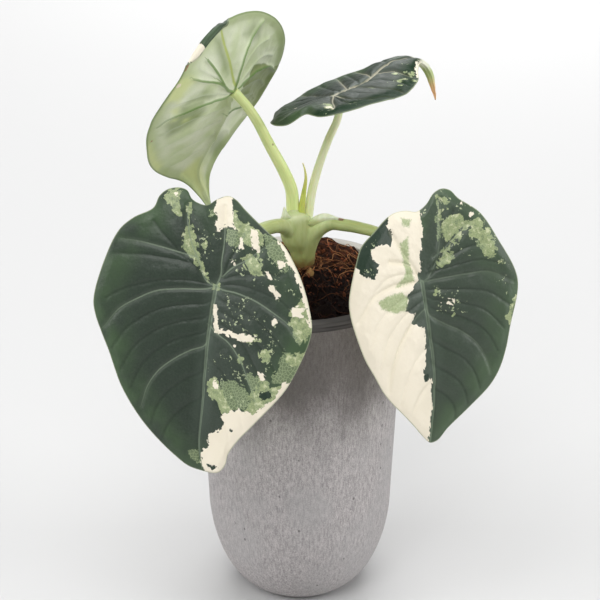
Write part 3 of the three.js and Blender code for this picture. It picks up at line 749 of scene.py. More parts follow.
def membrane(low, top):
    """A thin closed sheet between two lines, bowed outwards a little, as rings about its middle."""
    low, top = smooth_line(low, MEMBRANE_STEPS), smooth_line(top, MEMBRANE_STEPS)
    across = np.linspace(0, 1, MEMBRANE_ROWS)[None, :, None]
    sheet = low[:, None] * (1 - across) + top[:, None] * across
    along = np.gradient(sheet, axis=0)
    face = np.cross(along, top[:, None] - low[:, None])
    face /= np.linalg.norm(face, axis=-1, keepdims=True) + 1e-9
    bow = MEMBRANE_BOW * np.sin(np.pi * across) * face
    half_thick = MEMBRANE_HALF * (1 - 0.7 * across) * face
    return np.concatenate([sheet + bow + half_thick, (sheet + bow - half_thick)[:, ::-1]], 1)


def membrane_skin():
    """Silvery pale green, brown where it has dried at the tip of the right one."""
    material, tree, shader, colour = stalk_skin(
        "membrane_skin", "dde1cb", "c2caa4", object_place, (500, 500, 60))
    across, _, height = add(tree, "SeparateXYZ", {0: object_place(tree)}).outputs
    colour = mixed(tree, fade(tree, height, 0.2378, 0.2335), colour, "b2bd86")
    ragged = reckon(tree, "MULTIPLY_ADD", noise(tree, object_place(tree), 500), 0.003, across)
    dry = fade(tree, ragged, 0.0215, 0.0235)
    place_sockets(tree, shader, {"Base Color": mixed(tree, dry, colour, "8a6a55")})
    return material


membrane_material = membrane_skin()
for side, (low_edge, top_edge) in MEMBRANES.items():
    wing = new_piece("sheath_edge_" + side, *skin(membrane(low_edge, top_edge)), membrane_material)


# Stalks: round, fleshy and smooth, thinner towards the blade. Each carries on from its sheath in
# the crown and ends flush against the underside of its blade.
STALK_SAMPLES = 400
STALK_STEPS = 150
STALK_SIDES = 28
STALK_COLOURS = {
    "lower_left": ("c0ca90", "acb876"),
    "lower_right": ("adb77c", "9ba669"),
    "upper_left": ("e5efac", "d0df90"),
    # The upper right stalk's near-white colours are painted light: they stand in for the light that shines
    # through it.
    "upper_right": ("fafbdf", "e6eeb8"),
}
FACES = {
    # azimuth from -Y towards +X, elevation and roll of the upper face, in degrees
    "lower_left": (-18, 20, 1.5),
    "lower_right": (22, 18, 0),
    "upper_left": (229.6, 32.3, 11.7),
    "upper_right": (221.9, 78, 79),
}


def blade_axes(name):
    """The blade's face direction, the way to its tip and its right side."""
    azimuth, elevation, roll = np.radians(FACES[name])
    face = np.array([
        np.cos(elevation) * np.sin(azimuth), -np.cos(elevation) * np.cos(azimuth), np.sin(elevation),
    ])
    level = np.array([np.cos(azimuth), np.sin(azimuth), 0])
    down = np.cross(face, level)
    down = -down if down[2] > 0 else down
    return face, down * np.cos(roll) - level * np.sin(roll), level * np.cos(roll) + down * np.sin(roll)


def own_place(tree):
    """The piece's own flat coordinate, in millimetres: round or across it, and along it."""
    return add(tree, "Attribute", attribute_name="flat").outputs["Vector"]


def make_stalk(name):
    """A tube along the route from inside the crown, its end cut flush with the blade's underside."""
    stalk = STALKS[name]
    path = smooth_line(stalk["route"], STALK_SAMPLES)
    share = np.linspace(0, 1, STALK_SAMPLES)
    length = np.linalg.norm(np.diff(path, axis=0), axis=1).sum()
    start = np.searchsorted(share, stalk["sheath"] - 0.05)
    kept = np.linspace(start, STALK_SAMPLES - 1, STALK_STEPS).astype(int)
    swell = 1 + 0.12 * np.exp(-((1 - share) * length / 5) ** 2)
    rings = carried_rings(path[kept], (stalk_radius(stalk, share) * swell)[kept] - 0.02, STALK_SIDES)
    face = blade_axes(name)[0]
    way = np.gradient(path, axis=0)[kept]
    way /= np.linalg.norm(way, axis=1, keepdims=True)
    past = np.maximum(0, (rings - path[-1] + face * 0.25) @ face)
    rings = rings - (past / (way @ face)[:, None])[..., None] * way[:, None]
    material, tree, shader, colour = stalk_skin(
        "stalk_skin_" + name, *STALK_COLOURS[name], own_place, (1.5, 0.07, 1))
    place_sockets(tree, shader, {"Base Color": colour})
    piece = new_piece("stalk_" + name + "_live", *skin(rings), material)
    around = np.arange(STALK_SIDES) / STALK_SIDES
    across = np.abs(around - 0.5) * 2 * np.pi * stalk["radius"][2]
    flat = np.zeros((len(piece.data.vertices), 3))
    flat[:-2, 0] = np.tile(across, STALK_STEPS)
    flat[:-2, 1] = np.repeat(share[kept] * length, STALK_SIDES)
    give(piece.data, "flat", flat, "FLOAT_VECTOR")
    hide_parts("stalk_" + name)


for stalk_name in STALKS:
    make_stalk(stalk_name)


# Blades: stiff leathery shields on their stalks, 0.8 mm thick, dark grey-green above and pale
# below. Sunken veins quilt them, and cell by cell the green gives way to light green and cream.
BLADE_SPOKES = 420
BLADE_RINGS = 84
BLADE_THICKNESS = 0.8
CREASE = 4.0  # the fold along the midrib is rounded over about this length
BLADE_SPAN = 100  # the length that a midrib's swing and a twist are given for
SUM_STEPS = 20
VEIN_SINK = 0.6
QUILT_RISE = 1.1
FAINT_SINK = 0.22
FAINT_RISE = 0.5
RIB_RIDGE = 0.55  # how far the veins stand out of the underside
VEIN_RIDGE = 0.35
TAIL_LENGTH = 36


def mean_direction(angle_at, length):
    """Mean cosine and sine of an angle that grows along a length, summed in short steps."""
    parts = (np.arange(SUM_STEPS) + 0.5) / SUM_STEPS
    angle = angle_at(length[..., None] * parts)
    return np.cos(angle).mean(-1), np.sin(angle).mean(-1)


def blade_surface(leaf, x, y):
    """Places of flat points on the blade's middle surface.

    The midrib swings sideways by rib_tip or rib_lobe and bends away from the face, by bend along
    its length and by hook past hook_from, for the length hook_for; bend, hook and arch are in
    thousandths of a radian for each millimetre. Each half leaves the midrib at its fold angle and
    curves on by its arch, and both turn about it by twist.
    """
    face, tip, right = leaf["axes"]
    to_tip = y < 0
    sign = np.where(to_tip, 1.0, -1.0)
    bend = np.where(to_tip, leaf["bend_tip"], leaf["bend_lobe"][0])[..., None]
    more = np.where(to_tip, 0, leaf["bend_lobe"][1])[..., None]
    hook = np.where(to_tip, leaf["hook"], 0)[..., None]

    def rib_angle(s):
        hooked = np.clip(s - leaf["hook_from"], 0, leaf.get("hook_for", BLADE_SPAN))
        return (bend * s + more / BLADE_SPAN * s * s + hook * hooked) / 1000

    along = np.abs(y)
    rib_cos, rib_sin = mean_direction(rib_angle, along)
    turned_by = rib_angle(along[..., None])
    point = (sign * rib_cos * along)[..., None] * tip - (rib_sin * along)[..., None] * face
    face_here = np.cos(turned_by) * face + np.sin(turned_by) * sign[..., None] * tip

    share = -y / BLADE_SPAN
    square, cube = leaf["rib_tip"]
    rib = np.where(to_tip, square * share**2 + cube * share**3, leaf["rib_lobe"] * y)
    on_right = x > rib
    fold = np.radians(np.where(on_right, leaf["fold"][1], leaf["fold"][0]))[..., None]
    arch = np.where(on_right, leaf["arch"][1], leaf["arch"][0])[..., None] / 1000
    out = np.abs(x - rib)
    side_cos, side_sin = mean_direction(lambda q: fold * (1 - np.exp(-q / CREASE)) + arch * q, out)
    twist = (np.radians(leaf["twist"]) * share)[..., None]
    right_here = np.cos(twist) * right + np.sin(twist) * face_here
    lift_here = np.cos(twist) * face_here - np.sin(twist) * right
    sideways = rib + side_cos * (x - rib)
    return leaf["joint"] + point + sideways[..., None] * right_here + (side_sin * out)[..., None] * lift_here


def blade_normals(leaf, x, y):
    """Directions off the upper face, from the surface half a millimetre to each side."""
    across = blade_surface(leaf, x + 0.5, y) - blade_surface(leaf, x - 0.5, y)
    along = blade_surface(leaf, x, y + 0.5) - blade_surface(leaf, x, y - 0.5)
    normal = np.cross(across, along)
    return normal / np.linalg.norm(normal, axis=-1, keepdims=True)


def line_distance(points, lines):
    """Distance from each flat point to the nearest of some lines, and the same with a minus sign
    on the right side of that line."""
    gap = np.full(len(points), 1e9)
    side = np.full(len(points), 1e9)
    for line in lines:
        line = smooth_line(line, 28)
        start, step = line[:-1], np.diff(line, axis=0)
        from_start = points[:, None] - start
        share = ((from_start * step).sum(-1) / (step**2).sum(-1)).clip(0, 1)
        rest = from_start - share[..., None] * step
        away = np.hypot(rest[..., 0], rest[..., 1])
        nearest = away.argmin(1)
        rows = np.arange(len(points))
        distance = away[rows, nearest]
        way, offset = step[nearest], from_start[rows, nearest]
        cross = way[:, 0] * offset[:, 1] - way[:, 1] * offset[:, 0]
        closer = distance < gap
        gap = np.where(closer, distance, gap)
        side = np.where(closer, np.sign(cross) * distance, side)
    return gap, side


def patch_depth(points, patches):
    """Depth of each flat point inside the deepest of some patches, minus its distance outside.

    A point is inside a patch when a ray to its right crosses the patch's outline an odd number of
    times.
    """
    depth = np.full(len(points), -50.0)
    x, y = points[:, :1], points[:, 1:]
    for patch in patches:
        corner = np.asarray(patch, float)
        after = np.roll(corner, -1, 0)
        step = after - corner
        from_corner = points[:, None] - corner
        share = ((from_corner * step).sum(-1) / (step**2).sum(-1)).clip(0, 1)
        rest = from_corner - share[..., None] * step
        away = np.hypot(rest[..., 0], rest[..., 1]).min(1)
        spans = (corner[:, 1] > y) != (after[:, 1] > y)
        rise = np.where(step[:, 1] == 0, 1, step[:, 1])
        crossing = corner[:, 0] + (y - corner[:, 1]) / rise * step[:, 0]
        inside = ((spans & (x < crossing)).sum(1) % 2).astype(bool)
        depth = np.maximum(depth, np.where(inside, away, -away))
    return depth


def round_patch(x, y, radius):
    """A six-sided speck."""
    turn = np.pi / 3 * np.arange(6)
    return np.stack([x + radius * np.cos(turn), y + radius * np.sin(turn)], -1)


def new_group(name, inputs, outputs):
    """A node group with named sockets; returns it with its input and output nodes."""
    group = bpy.data.node_groups.new(name, "ShaderNodeTree")
    for socket, kind in inputs:
        group.interface.new_socket(socket, in_out="INPUT", socket_type="NodeSocket" + kind)
    for socket, kind in outputs:
        group.interface.new_socket(socket, in_out="OUTPUT", socket_type="NodeSocket" + kind)
    return group, group.nodes.new("NodeGroupInput"), group.nodes.new("NodeGroupOutput")


def cell_group():
    """Values that change from cell to cell of the blade: the shift that makes the edges of its
    patches step, and a choice of tone. A third one is the mask of scattered small flecks."""
    outputs = [("Shift", "Float"), ("Choice", "Float"), ("Fleck", "Float")]
    group, given, result = new_group("leaf_cells", [("Place", "Vector")], outputs)
    place = given.outputs["Place"]
    blocks = add(
        group, "TexVoronoi", {"Vector": place, "Scale": 0.42}, voronoi_dimensions="2D", distance="CHEBYCHEV")
    small = add(group, "TexVoronoi", {"Vector": place, "Scale": 1.25}, voronoi_dimensions="2D")
    block = add(group, "SeparateColor", {0: blocks.outputs["Color"]}).outputs
    grain = add(group, "SeparateColor", {0: small.outputs["Color"]}).outputs
    shift = times(group, reckon(group, "SUBTRACT", block[0], 0.5), 1.5)
    shift = reckon(group, "MULTIPLY_ADD", reckon(group, "SUBTRACT", grain[0], 0.5), 0.35, shift)
    wave = reckon(group, "SUBTRACT", noise(group, place, 0.16), 0.5)
    group.links.new(reckon(group, "MULTIPLY_ADD", wave, 1.2, shift), result.inputs["Shift"])
    group.links.new(block[1], result.inputs["Choice"])
    crowded = fade(group, noise(group, place, 0.15, 3), 0.42, 0.62)
    tiny = reckon(group, "MULTIPLY_ADD", crowded, 0.18, noise(group, place, 0.62, 4, 0.68))
    group.links.new(fade(group, tiny, 0.735, 0.76), result.inputs["Fleck"])
    return group


def line_group():
    """Mask of a vein: full within half its width of the line, where the signed distance is small
    and the plain distance agrees that the line is near."""
    group, given, result = new_group(
        "vein_line", [("Side", "Float"), ("Gap", "Float"), ("Width", "Float")], [("Mask", "Float")])
    width = given.outputs["Width"]
    across = reckon(group, "DIVIDE", reckon(group, "ABSOLUTE", given.outputs["Side"]), width)
    near = fade(group, reckon(group, "DIVIDE", given.outputs["Gap"], width), 4.0, 2.0)
    group.links.new(times(group, fade(group, across, 1.0, 0.45), near), result.inputs["Mask"])
    return group


LEAF_CELLS = cell_group()
VEIN_LINE = line_group()


def field(tree, name):
    """The value of one of the blade's own attributes."""
    return add(tree, "Attribute", attribute_name=name).outputs["Fac"]


def leaf_cells(tree):
    """The cell group, placed on the blade's flat coordinate."""
    node = tree.nodes.new("ShaderNodeGroup")
    node.node_tree = LEAF_CELLS
    place_sockets(tree, node, {"Place": own_place(tree)})
    return node.outputs


def patch_mask(tree, name, shift, step, soft=0.12):
    """Mask of one tone's patches; their edges are shifted cell by cell by up to about a step."""
    depth = reckon(tree, "MULTIPLY_ADD", shift, step, field(tree, name))
    return fade(tree, depth, -soft, soft)


def vein_mask(tree, name, width):
    """Mask of the midrib or of the side veins."""
    node = tree.nodes.new("ShaderNodeGroup")
    node.node_tree = VEIN_LINE
    inputs = {"Side": field(tree, name + "_side"), "Gap": field(tree, name + "_gap"), "Width": width}
    place_sockets(tree, node, inputs)
    return node.outputs["Mask"]


def painted(tree, colour, tones):
    """Lays tones over a colour in turn, each by its mask."""
    for mask, tone in tones:
        colour = mixed(tree, mask, colour, tone)
    return colour


def net(tree, scale, low, high):
    """Fine net of tiny veins: the borders between small cells."""
    inputs = {"Vector": own_place(tree), "Scale": scale}
    cells = add(tree, "TexVoronoi", inputs, voronoi_dimensions="2D", feature="DISTANCE_TO_EDGE")
    return fade(tree, cells.outputs["Distance"], high, low)


def taper(tree, from_width, to_width):
    """A vein's width in millimetres, which shrinks with the distance from the joint."""
    length = add(tree, "VectorMath", {0: own_place(tree)}, operation="LENGTH").outputs["Value"]
    far = reckon(tree, "MINIMUM", reckon(tree, "DIVIDE", length, 80), 1)
    return reckon(tree, "MULTIPLY_ADD", far, to_width - from_width, from_width)


def tail_paint(tree, colour):
    """The thin tip of a young blade: white, then yellow-green, then orange at its dry end."""
    tail = field(tree, "tail")
    return painted(tree, colour, [
        (fade(tree, tail, 0.02, 0.2), "e9ead6"),
        (fade(tree, tail, 0.3, 0.5), "b7c489"),
        (fade(tree, tail, 0.55, 0.85), "eebb8a"),
    ])


def upper_skin():
    """Upper face: satin dark grey-green, greener to the margin, with paler veins; patches of netted mid
    green, light green and cream whose edges step from cell to cell, and tiny specks. Light and shade are
    painted in as well: a grey painted sheen over some blades, a painted sheen along the midrib and painted
    shade along the faint grooves.
    Where the soft mask of the young blade's shaded band lies, the green is painted darker and fuller, partly
    its own colour and partly painted shade, and has less sheen."""
    material, tree, shader = new_material("leaf_upper", 0.4, 0.36)
    flat = own_place(tree)
    broad = noise(tree, flat, 0.05, 2)
    fine = noise(tree, flat, 0.9, 3, 0.7)
    edge = field(tree, "edge")
    shift, choice, fleck = (leaf_cells(tree)[name] for name in ("Shift", "Choice", "Fleck"))
    greener = times(tree, fade(tree, edge, 24, 2), fade(tree, broad, 0.25, 0.65))
    dark = mixed(tree, fade(tree, fine, 0.2, 0.9), "28332a", "364337")
    dark = mixed(tree, times(tree, greener, 0.68), dark, "49623f")
    # Painted sheen: blade by blade, the dark green is greyed towards a sheen grey, as where the light shines
    # off it.
    dark = mixed(tree, field(tree, "sheen_grey"), dark, "8b9a86")
    # Painted shade: in the drooping band of the young blade the green is painted darker and fuller, partly
    # its own colour, and its sheen is taken away.
    deep_shade = patch_mask(tree, "deep_shade", shift, 0.5, 3.5)
    dark = mixed(tree, times(tree, deep_shade, 0.9), dark, "1c3220")
    place_sockets(tree, shader, {"Specular IOR Level": reckon(tree, "MULTIPLY_ADD", deep_shade, -0.32, 0.36)})
    # Painted shade along the faint grooves between the veins.
    groove_shade = times(tree, fade(tree, field(tree, "faint_gap"), 1.3, 0.1), 0.34)
    dark = mixed(tree, groove_shade, dark, "202c20")
    # Painted sheen: a soft grey band along the midrib, away from the margin.
    rib_sheen = times(tree, fade(tree, field(tree, "rib_gap"), 8.0, 0.5), fade(tree, edge, 8, 40))
    dark = mixed(tree, times(tree, rib_sheen, 0.3), dark, "5c6a5e")
    netted = net(tree, 0.6, 0.02, 0.13)
    mid = mixed(tree, times(tree, netted, 0.75), "6d7c5d", "a7b48a")
    light = mixed(tree, times(tree, netted, 0.55), "a0ac80", "76885a")
    cloud = reckon(tree, "MULTIPLY_ADD", choice, 0.14, noise(tree, flat, 0.3, 3, 0.6))
    light = mixed(tree, times(tree, fade(tree, cloud, 0.62, 0.72), 0.7), light, "d3d6ae")
    light = mixed(tree, times(tree, fade(tree, cloud, 0.54, 0.44), 0.8), light, mid)
    cream = mixed(tree, fade(tree, broad, 0.3, 0.7), "f4ebd7", "f0e7d2")
    moss = mixed(tree, fade(tree, fine, 0.25, 0.75), "b8c294", "8da26d")
    moss_shift = reckon(tree, "MULTIPLY_ADD", fine, 3.6, -1.9)
    speck = times(tree, fleck, patch_mask(tree, "speckled", shift, 2.0))
    cream_mask = patch_mask(tree, "cream", shift, 1.3)
    colour = painted(tree, dark, [
        (patch_mask(tree, "mid", shift, 1.3), mid),
        (speck, "b3be98"),
        (patch_mask(tree, "light", shift, 1.6), light),
        (cream_mask, cream),
        (times(tree, patch_mask(tree, "moss", moss_shift, 1.0, 0.9), 0.9), moss),
        (patch_mask(tree, "island", shift, 1.2), "26382a"),
        (times(tree, speck, patch_mask(tree, "island", shift, 1.2)), "b9c59c"),
    ])
    fresh = field(tree, "fresh")
    on_dark = mixed(tree, fresh, "8c9b84", "c9c1a9")
    pale_line = mixed(tree, cream_mask, on_dark, "ece5cb")
    inward = reckon(tree, "MULTIPLY_ADD", fade(tree, edge, 3, 26), 0.7, 0.3)
    inward = times(tree, inward, field(tree, "veined"))
    side_veins = times(tree, vein_mask(tree, "vein", taper(tree, 0.62, 0.36)), inward)
    soft_veins = times(tree, fade(tree, field(tree, "vein_gap"), 2.4, 0.3), 0.08)
    rib = vein_mask(tree, "rib", taper(tree, 1.6, 0.7))
    rib_core = vein_mask(tree, "rib", taper(tree, 0.6, 0.3))
    colour = painted(tree, colour, [
        (soft_veins, pale_line),
        (times(tree, side_veins, 0.62), pale_line),
        (times(tree, rib, 0.6), pale_line),
        (times(tree, rib_core, 0.6), mixed(tree, fresh, "536152", "d8cfb4")),
        (times(tree, fade(tree, edge, 0.6, 0.2), 0.5), "a9b48f"),
    ])
    place_sockets(tree, shader, {"Base Color": tail_paint(tree, colour)})
    pebbles = add(
        tree, "TexVoronoi", {"Vector": flat, "Scale": 0.55}, voronoi_dimensions="2D", feature="SMOOTH_F1")
    grain = reckon(tree, "MULTIPLY_ADD", fine, 0.5, times(tree, pebbles.outputs["Distance"], -0.5))
    bump = add(tree, "Bump", {"Height": grain, "Distance": 0.0006, "Strength": 0.35})
    place_sockets(tree, shader, {"Normal": bump.outputs[0]})
    return material


def under_skin():
    """Underside: matt silver-green with thin dark green veins, olive towards the margin, where
    the patches of the upper face show through with soft edges."""
    material, tree, shader = new_material("leaf_under", 0.45, 0.4)
    flat = own_place(tree)
    broad = noise(tree, flat, 0.05, 2)
    fine = noise(tree, flat, 0.8, 3, 0.7)
    edge = field(tree, "edge")
    shift = leaf_cells(tree)["Shift"]
    base = mixed(tree, fade(tree, broad, 0.35, 0.65), "e9efd3", "d4e0b3")
    base = mixed(tree, times(tree, fade(tree, fine, 0.4, 0.8), 0.2), base, "b4c199")
    base = mixed(tree, times(tree, fade(tree, edge, 11, 1), 0.6), base, "9db06c")
    colour = painted(tree, base, [
        (times(tree, patch_mask(tree, "mid", shift, 0.3, 4.5), 0.7), "7f9158"),
        (times(tree, patch_mask(tree, "light", shift, 0.7, 3.6), 0.75), "e2eaa6"),
        (patch_mask(tree, "cream", shift, 0.8, 0.4), "f3ead2"),
        (patch_mask(tree, "brown", shift, 0.5, 0.3), "a87862"),
        (times(tree, fade(tree, field(tree, "faint_gap"), 0.9, 0.1), 0.35), "d5dcc6"),
        (times(tree, patch_mask(tree, "island", shift, 0.2, 0.6), 0.88), "80904f"),
        (fade(tree, field(tree, "seam_gap"), 1.3, 0.3), "c3d07c"),
    ])
    inward = reckon(tree, "MULTIPLY_ADD", fade(tree, edge, 3, 20), 0.6, 0.4)
    side_veins = times(tree, vein_mask(tree, "vein", taper(tree, 1.3, 0.6)), inward)
    colour = painted(tree, colour, [
        (times(tree, side_veins, 0.85), "6f9148"),
        (times(tree, vein_mask(tree, "rib", taper(tree, 2.4, 1.2)), 0.5), "c9d4a4"),
        (times(tree, fade(tree, edge, 1.5, 0.3), 0.75), "70874d"),
    ])
    place_sockets(tree, shader, {"Base Color": tail_paint(tree, colour)})
    bump = add(tree, "Bump", {"Height": fine, "Distance": 0.0004, "Strength": 0.25})
    place_sockets(tree, shader, {"Normal": bump.outputs[0]})
    return material


UPPER_SKIN = upper_skin()
UNDER_SKIN = under_skin()


def between(first, second, count):
    """Lines in even steps between two veins, start with start and end with end."""
    first, second = smooth_line(first, 12), smooth_line(second, 12)
    return [first + (second - first) * (k + 1) / (count + 1) for k in range(count)]


def relief(leaf, x, y, edge, rib_gap, vein_gap, faint_gap):
    """Height of the middle surface off its smooth form: grooves at the veins, and the quilted
    fields that rise between them. It fades out at the joint and calms down at the margin. A young
    blade also stands up along its midrib (crest), and its margin bends down (droop). A blade sinks
    about a few places, or swells where the depth is negative (dips)."""
    near = np.minimum(rib_gap, vein_gap)
    grooves = -VEIN_SINK * np.exp(-(near / 1.0) ** 2) - FAINT_SINK * np.exp(-(faint_gap / 0.9) ** 2)
    fields = QUILT_RISE * (1 - np.exp(-near / 6)) + FAINT_RISE * (1 - np.exp(-faint_gap / 2.2))
    lumpy = 0.12 * lumps(x, y, 3.1, 4) + 0.3 * lumps(x, y, 9, 5)
    calm = smooth((np.hypot(x, y) / 7).clip(0, 1)) * (0.3 + 0.7 * smooth((edge / 6).clip(0, 1)))
    crest = leaf.get("crest", 0) * np.exp(-(rib_gap / 9) ** 2)
    droop = leaf.get("droop", 0) * np.exp(-(edge / 5) ** 1.5)
    dips = sum(
        depth * np.exp(-((x - at_x) ** 2 + (y - at_y) ** 2) / reach**2)
        for at_x, at_y, reach, depth in leaf.get("dips", [])
    )
    return (grooves + fields + lumpy) * calm * leaf.get("quilt", 1) + crest - droop - dips


def roll_margin(leaf, margin, flat, middle, normal):
    """Curls the blade's edge towards its underside between two bearings from the joint.

    Where the edge is nearer than the width, a point moves on a circle that starts flush with the
    blade, and the width itself swells and fades along the margin.
    """
    start, end, width, radius = leaf["roll"]
    bearing = np.degrees(np.arctan2(margin[:, 1], margin[:, 0]))
    window = ((bearing - start) / (end - start)).clip(0, 1)
    width = width * np.sin(np.pi * window) ** 0.5
    length = np.hypot(*margin.T)
    spoke = (np.arange(len(flat)) - 1) % BLADE_SPOKES
    past = (width[spoke] - (length[spoke] - np.hypot(*flat.T))).clip(0)
    past[0] = 0
    rolled = np.flatnonzero(past > 0)
    out = margin[spoke[rolled]] / length[spoke[rolled], None]
    foot = out * (length - width)[spoke[rolled], None]
    base = blade_surface(leaf, *foot.T)
    outwards = blade_surface(leaf, *(foot + 0.5 * out).T) - base
    outwards /= np.linalg.norm(outwards, axis=1, keepdims=True)
    up = blade_normals(leaf, *foot.T)
    turn = (past[rolled] / radius)[:, None]
    relief_there = middle[rolled] - blade_surface(leaf, *flat[rolled].T)
    lift = np.einsum("ij,ij->i", relief_there, normal[rolled])[:, None]
    turned_up = up * np.cos(turn) + outwards * np.sin(turn)
    middle[rolled] = base + radius * (np.sin(turn) * outwards - (1 - np.cos(turn)) * up) + lift * turned_up
    normal[rolled] = turned_up


def make_blade(name, leaf):
    """A blade from its flat outline: a web of spokes and rings about the joint, laid on the bent
    surface and quilted, with an upper and an under face joined round the margin.

    Flat places are in millimetres from the joint, x to the blade's right and y away from its tip.
    A panel is two of the veins and guides, by number, and how many faint veins run between them.
    """
    leaf["axes"] = blade_axes(name)
    leaf["joint"] = np.array(STALKS[name]["route"][-1], float)
    margin = smooth_line(leaf["outline"], BLADE_SPOKES, closed=True)
    share = np.linspace(0, 1, BLADE_RINGS + 1)[1:]
    flat = np.concatenate([[(0, 0)], (share[:, None, None] * margin).reshape(-1, 2)])
    x, y = flat.T
    edge = np.concatenate([[30.0], ((1 - share)[:, None] * np.hypot(*margin.T)).ravel()])

    guides = leaf["veins"] + leaf["guides"]
    faint = [
        line
        for first, second, count in leaf["panels"]
        for line in between(guides[first], guides[second], count)
    ]
    rib_gap, rib_side = line_distance(flat, [leaf["rib"]])
    vein_gap, vein_side = line_distance(flat, leaf["veins"])
    faint_gap, _ = line_distance(flat, faint)
    seam_gap, _ = line_distance(flat, leaf.get("seam", []))
    normal = blade_normals(leaf, x, y)
    rise = relief(leaf, x, y, edge, rib_gap, vein_gap, faint_gap)
    middle = blade_surface(leaf, x, y) + rise[:, None] * normal
    if "roll" in leaf:
        roll_margin(leaf, margin, flat, middle, normal)

    half_thick = BLADE_THICKNESS / 2 * (1 - 0.55 * smooth((1 - edge / 1.6).clip(0, 1)))
    ridges = RIB_RIDGE * np.exp(-(rib_gap / 1.3) ** 2) + VEIN_RIDGE * np.exp(-(vein_gap / 0.9) ** 2)
    under_thick = half_thick + ridges * smooth((edge / 8).clip(0, 1))
    points = np.concatenate([middle + normal * half_thick[:, None], middle - normal * under_thick[:, None]])

    count = len(flat)
    here = np.arange(BLADE_SPOKES)
    after = (here + 1) % BLADE_SPOKES
    inner = (1 + np.arange(BLADE_RINGS - 1) * BLADE_SPOKES)[:, None]
    outer = inner + BLADE_SPOKES
    upper = np.stack([inner + here, inner + after, outer + after, outer + here], -1).reshape(-1, 4)
    last = 1 + (BLADE_RINGS - 1) * BLADE_SPOKES
    rim = np.stack([last + here, last + after, count + last + after, count + last + here], -1)
    quads = np.concatenate([upper, rim, upper[:, ::-1] + count])
    hub = np.stack([np.zeros(BLADE_SPOKES, int), 1 + after, 1 + here], -1)
    triangles = np.concatenate([hub, hub[:, ::-1] + count])
    piece = new_piece("blade_" + name + "_live", points, quads, triangles, UPPER_SKIN)

    mesh = piece.data
    mesh.materials.append(UNDER_SKIN)
    below = np.zeros(len(mesh.polygons), np.int32)
    below[len(upper) + len(rim):len(quads)] = 1
    below[-BLADE_SPOKES:] = 1
    mesh.polygons.foreach_set("material_index", below)
    values = {
        "edge": edge, "rib_gap": rib_gap, "rib_side": rib_side, "vein_gap": vein_gap,
        "vein_side": vein_side, "faint_gap": faint_gap, "seam_gap": seam_gap,
        "tail": ((-y - leaf.get("tail_from", np.inf)) / TAIL_LENGTH).clip(0, 1),
    }
    for key, usual in {"fresh": 0.0, "sheen_grey": 0.0, "veined": 1.0}.items():
        values[key] = np.full(count, leaf.get(key, usual))
    for tone in ("mid", "light", "cream", "moss", "island", "speckled", "brown", "deep_shade"):
        values[tone] = patch_depth(flat, leaf.get(tone, []))
    for key, value in values.items():
        give(mesh, key, np.tile(value, 2))
    give(mesh, "flat", np.tile(np.stack([x, y, 0 * x], -1), (2, 1)), "FLOAT_VECTOR")
    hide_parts("blade_" + name)


